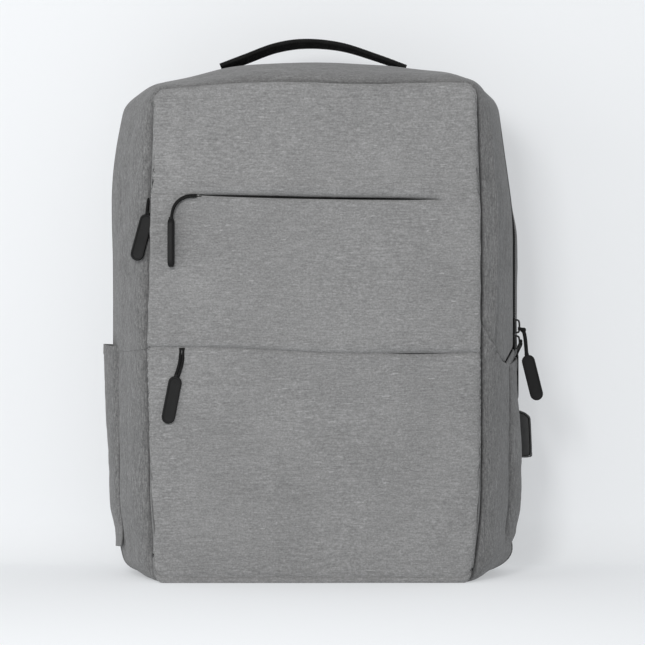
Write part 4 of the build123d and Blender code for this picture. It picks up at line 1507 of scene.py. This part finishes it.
# ---- stage, light and camera ----------------------------------------------------------------------
PHOTO_SCALE = 0.81       # millimetres to a picture pixel at the front face
CAMERA = Vector((7.7, FRONT_Y - 2200, 211.0))
PICTURE = 645
WALL_Y, CURVE = 128.0, 40.0


def stage_material():
    """Pale, slightly glowing sweep that is clear from behind."""
    m = Nodes("stage", rough=0.95, Specular_IOR_Level=0.0, Emission_Color=(0.982, 1.0, 1.019, 1),
              Emission_Strength=0.375)
    m.colour(m.noise(3, detail=2.0), [(0.0, (0.515, 0.525, 0.535)), (1.0, (0.525, 0.535, 0.545))])
    clear = m.add("ShaderNodeBsdfTransparent")
    mix = m.add("ShaderNodeMixShader")
    side = m.add("ShaderNodeNewGeometry")
    m.link(side.outputs["Backfacing"], mix.inputs[0])
    m.link(m.shader.outputs[0], mix.inputs[1])
    m.link(clear.outputs[0], mix.inputs[2])
    m.link(mix.outputs[0], m.out.inputs[0])
    return m.material


rail = [(-6000.0, 0.0), (WALL_Y - CURVE, 0.0)]
rail += [(WALL_Y - CURVE + CURVE * math.sin(a), CURVE - CURVE * math.cos(a))
         for a in [k * math.pi / 48 for k in range(1, 25)]]
rail += [(WALL_Y, 6000.0)]
stage_points = [(x, y, z) for x in (-6000, 6000) for y, z in rail]
n = len(rail)
stage = mesh_object("stage", stage_points, [(i, i + n, i + n + 1, i + 1) for i in range(n - 1)])
painted(stage, stage_material())
if stage.data.polygons[0].normal.z < 0:
    stage.data.flip_normals()

world = bpy.data.worlds.new("studio")
bpy.context.scene.world = world
world.use_nodes = True
world.node_tree.nodes["Background"].inputs[0].default_value = (0.878, 0.88, 0.882, 1)
world.node_tree.nodes["Background"].inputs[1].default_value = 0.6


def area_light(name, place, target, size, power):
    """Square light at a place in metres, turned to its target."""
    light = bpy.data.lights.new(name, "AREA")
    light.size = size
    light.energy = power
    obj = bpy.data.objects.new(name, light)
    bpy.context.scene.collection.objects.link(obj)
    obj.location = place
    obj.rotation_euler = (Vector(target) - Vector(place)).to_track_quat("-Z", "Y").to_euler()
    return obj


area_light("key", (-0.30, -1.50, 0.72), (0, 0, 0.2), 0.36, 10.0)
area_light("fill", (-1.70, -1.30, 0.50), (0, 0, 0.2), 1.2, 7.0)

camera_data = bpy.data.cameras.new("camera")
camera = bpy.data.objects.new("camera", camera_data)
bpy.context.scene.collection.objects.link(camera)
camera.location = CAMERA * MM
camera.rotation_euler = (math.pi / 2, 0, 0)
camera_data.sensor_width = 36.0
camera_data.lens = 36.0 * (FRONT_Y - CAMERA.y) / (PHOTO_SCALE * PICTURE)
camera_data.clip_end = 100
bpy.context.scene.camera = camera
bpy.context.scene.view_settings.view_transform = "Standard"
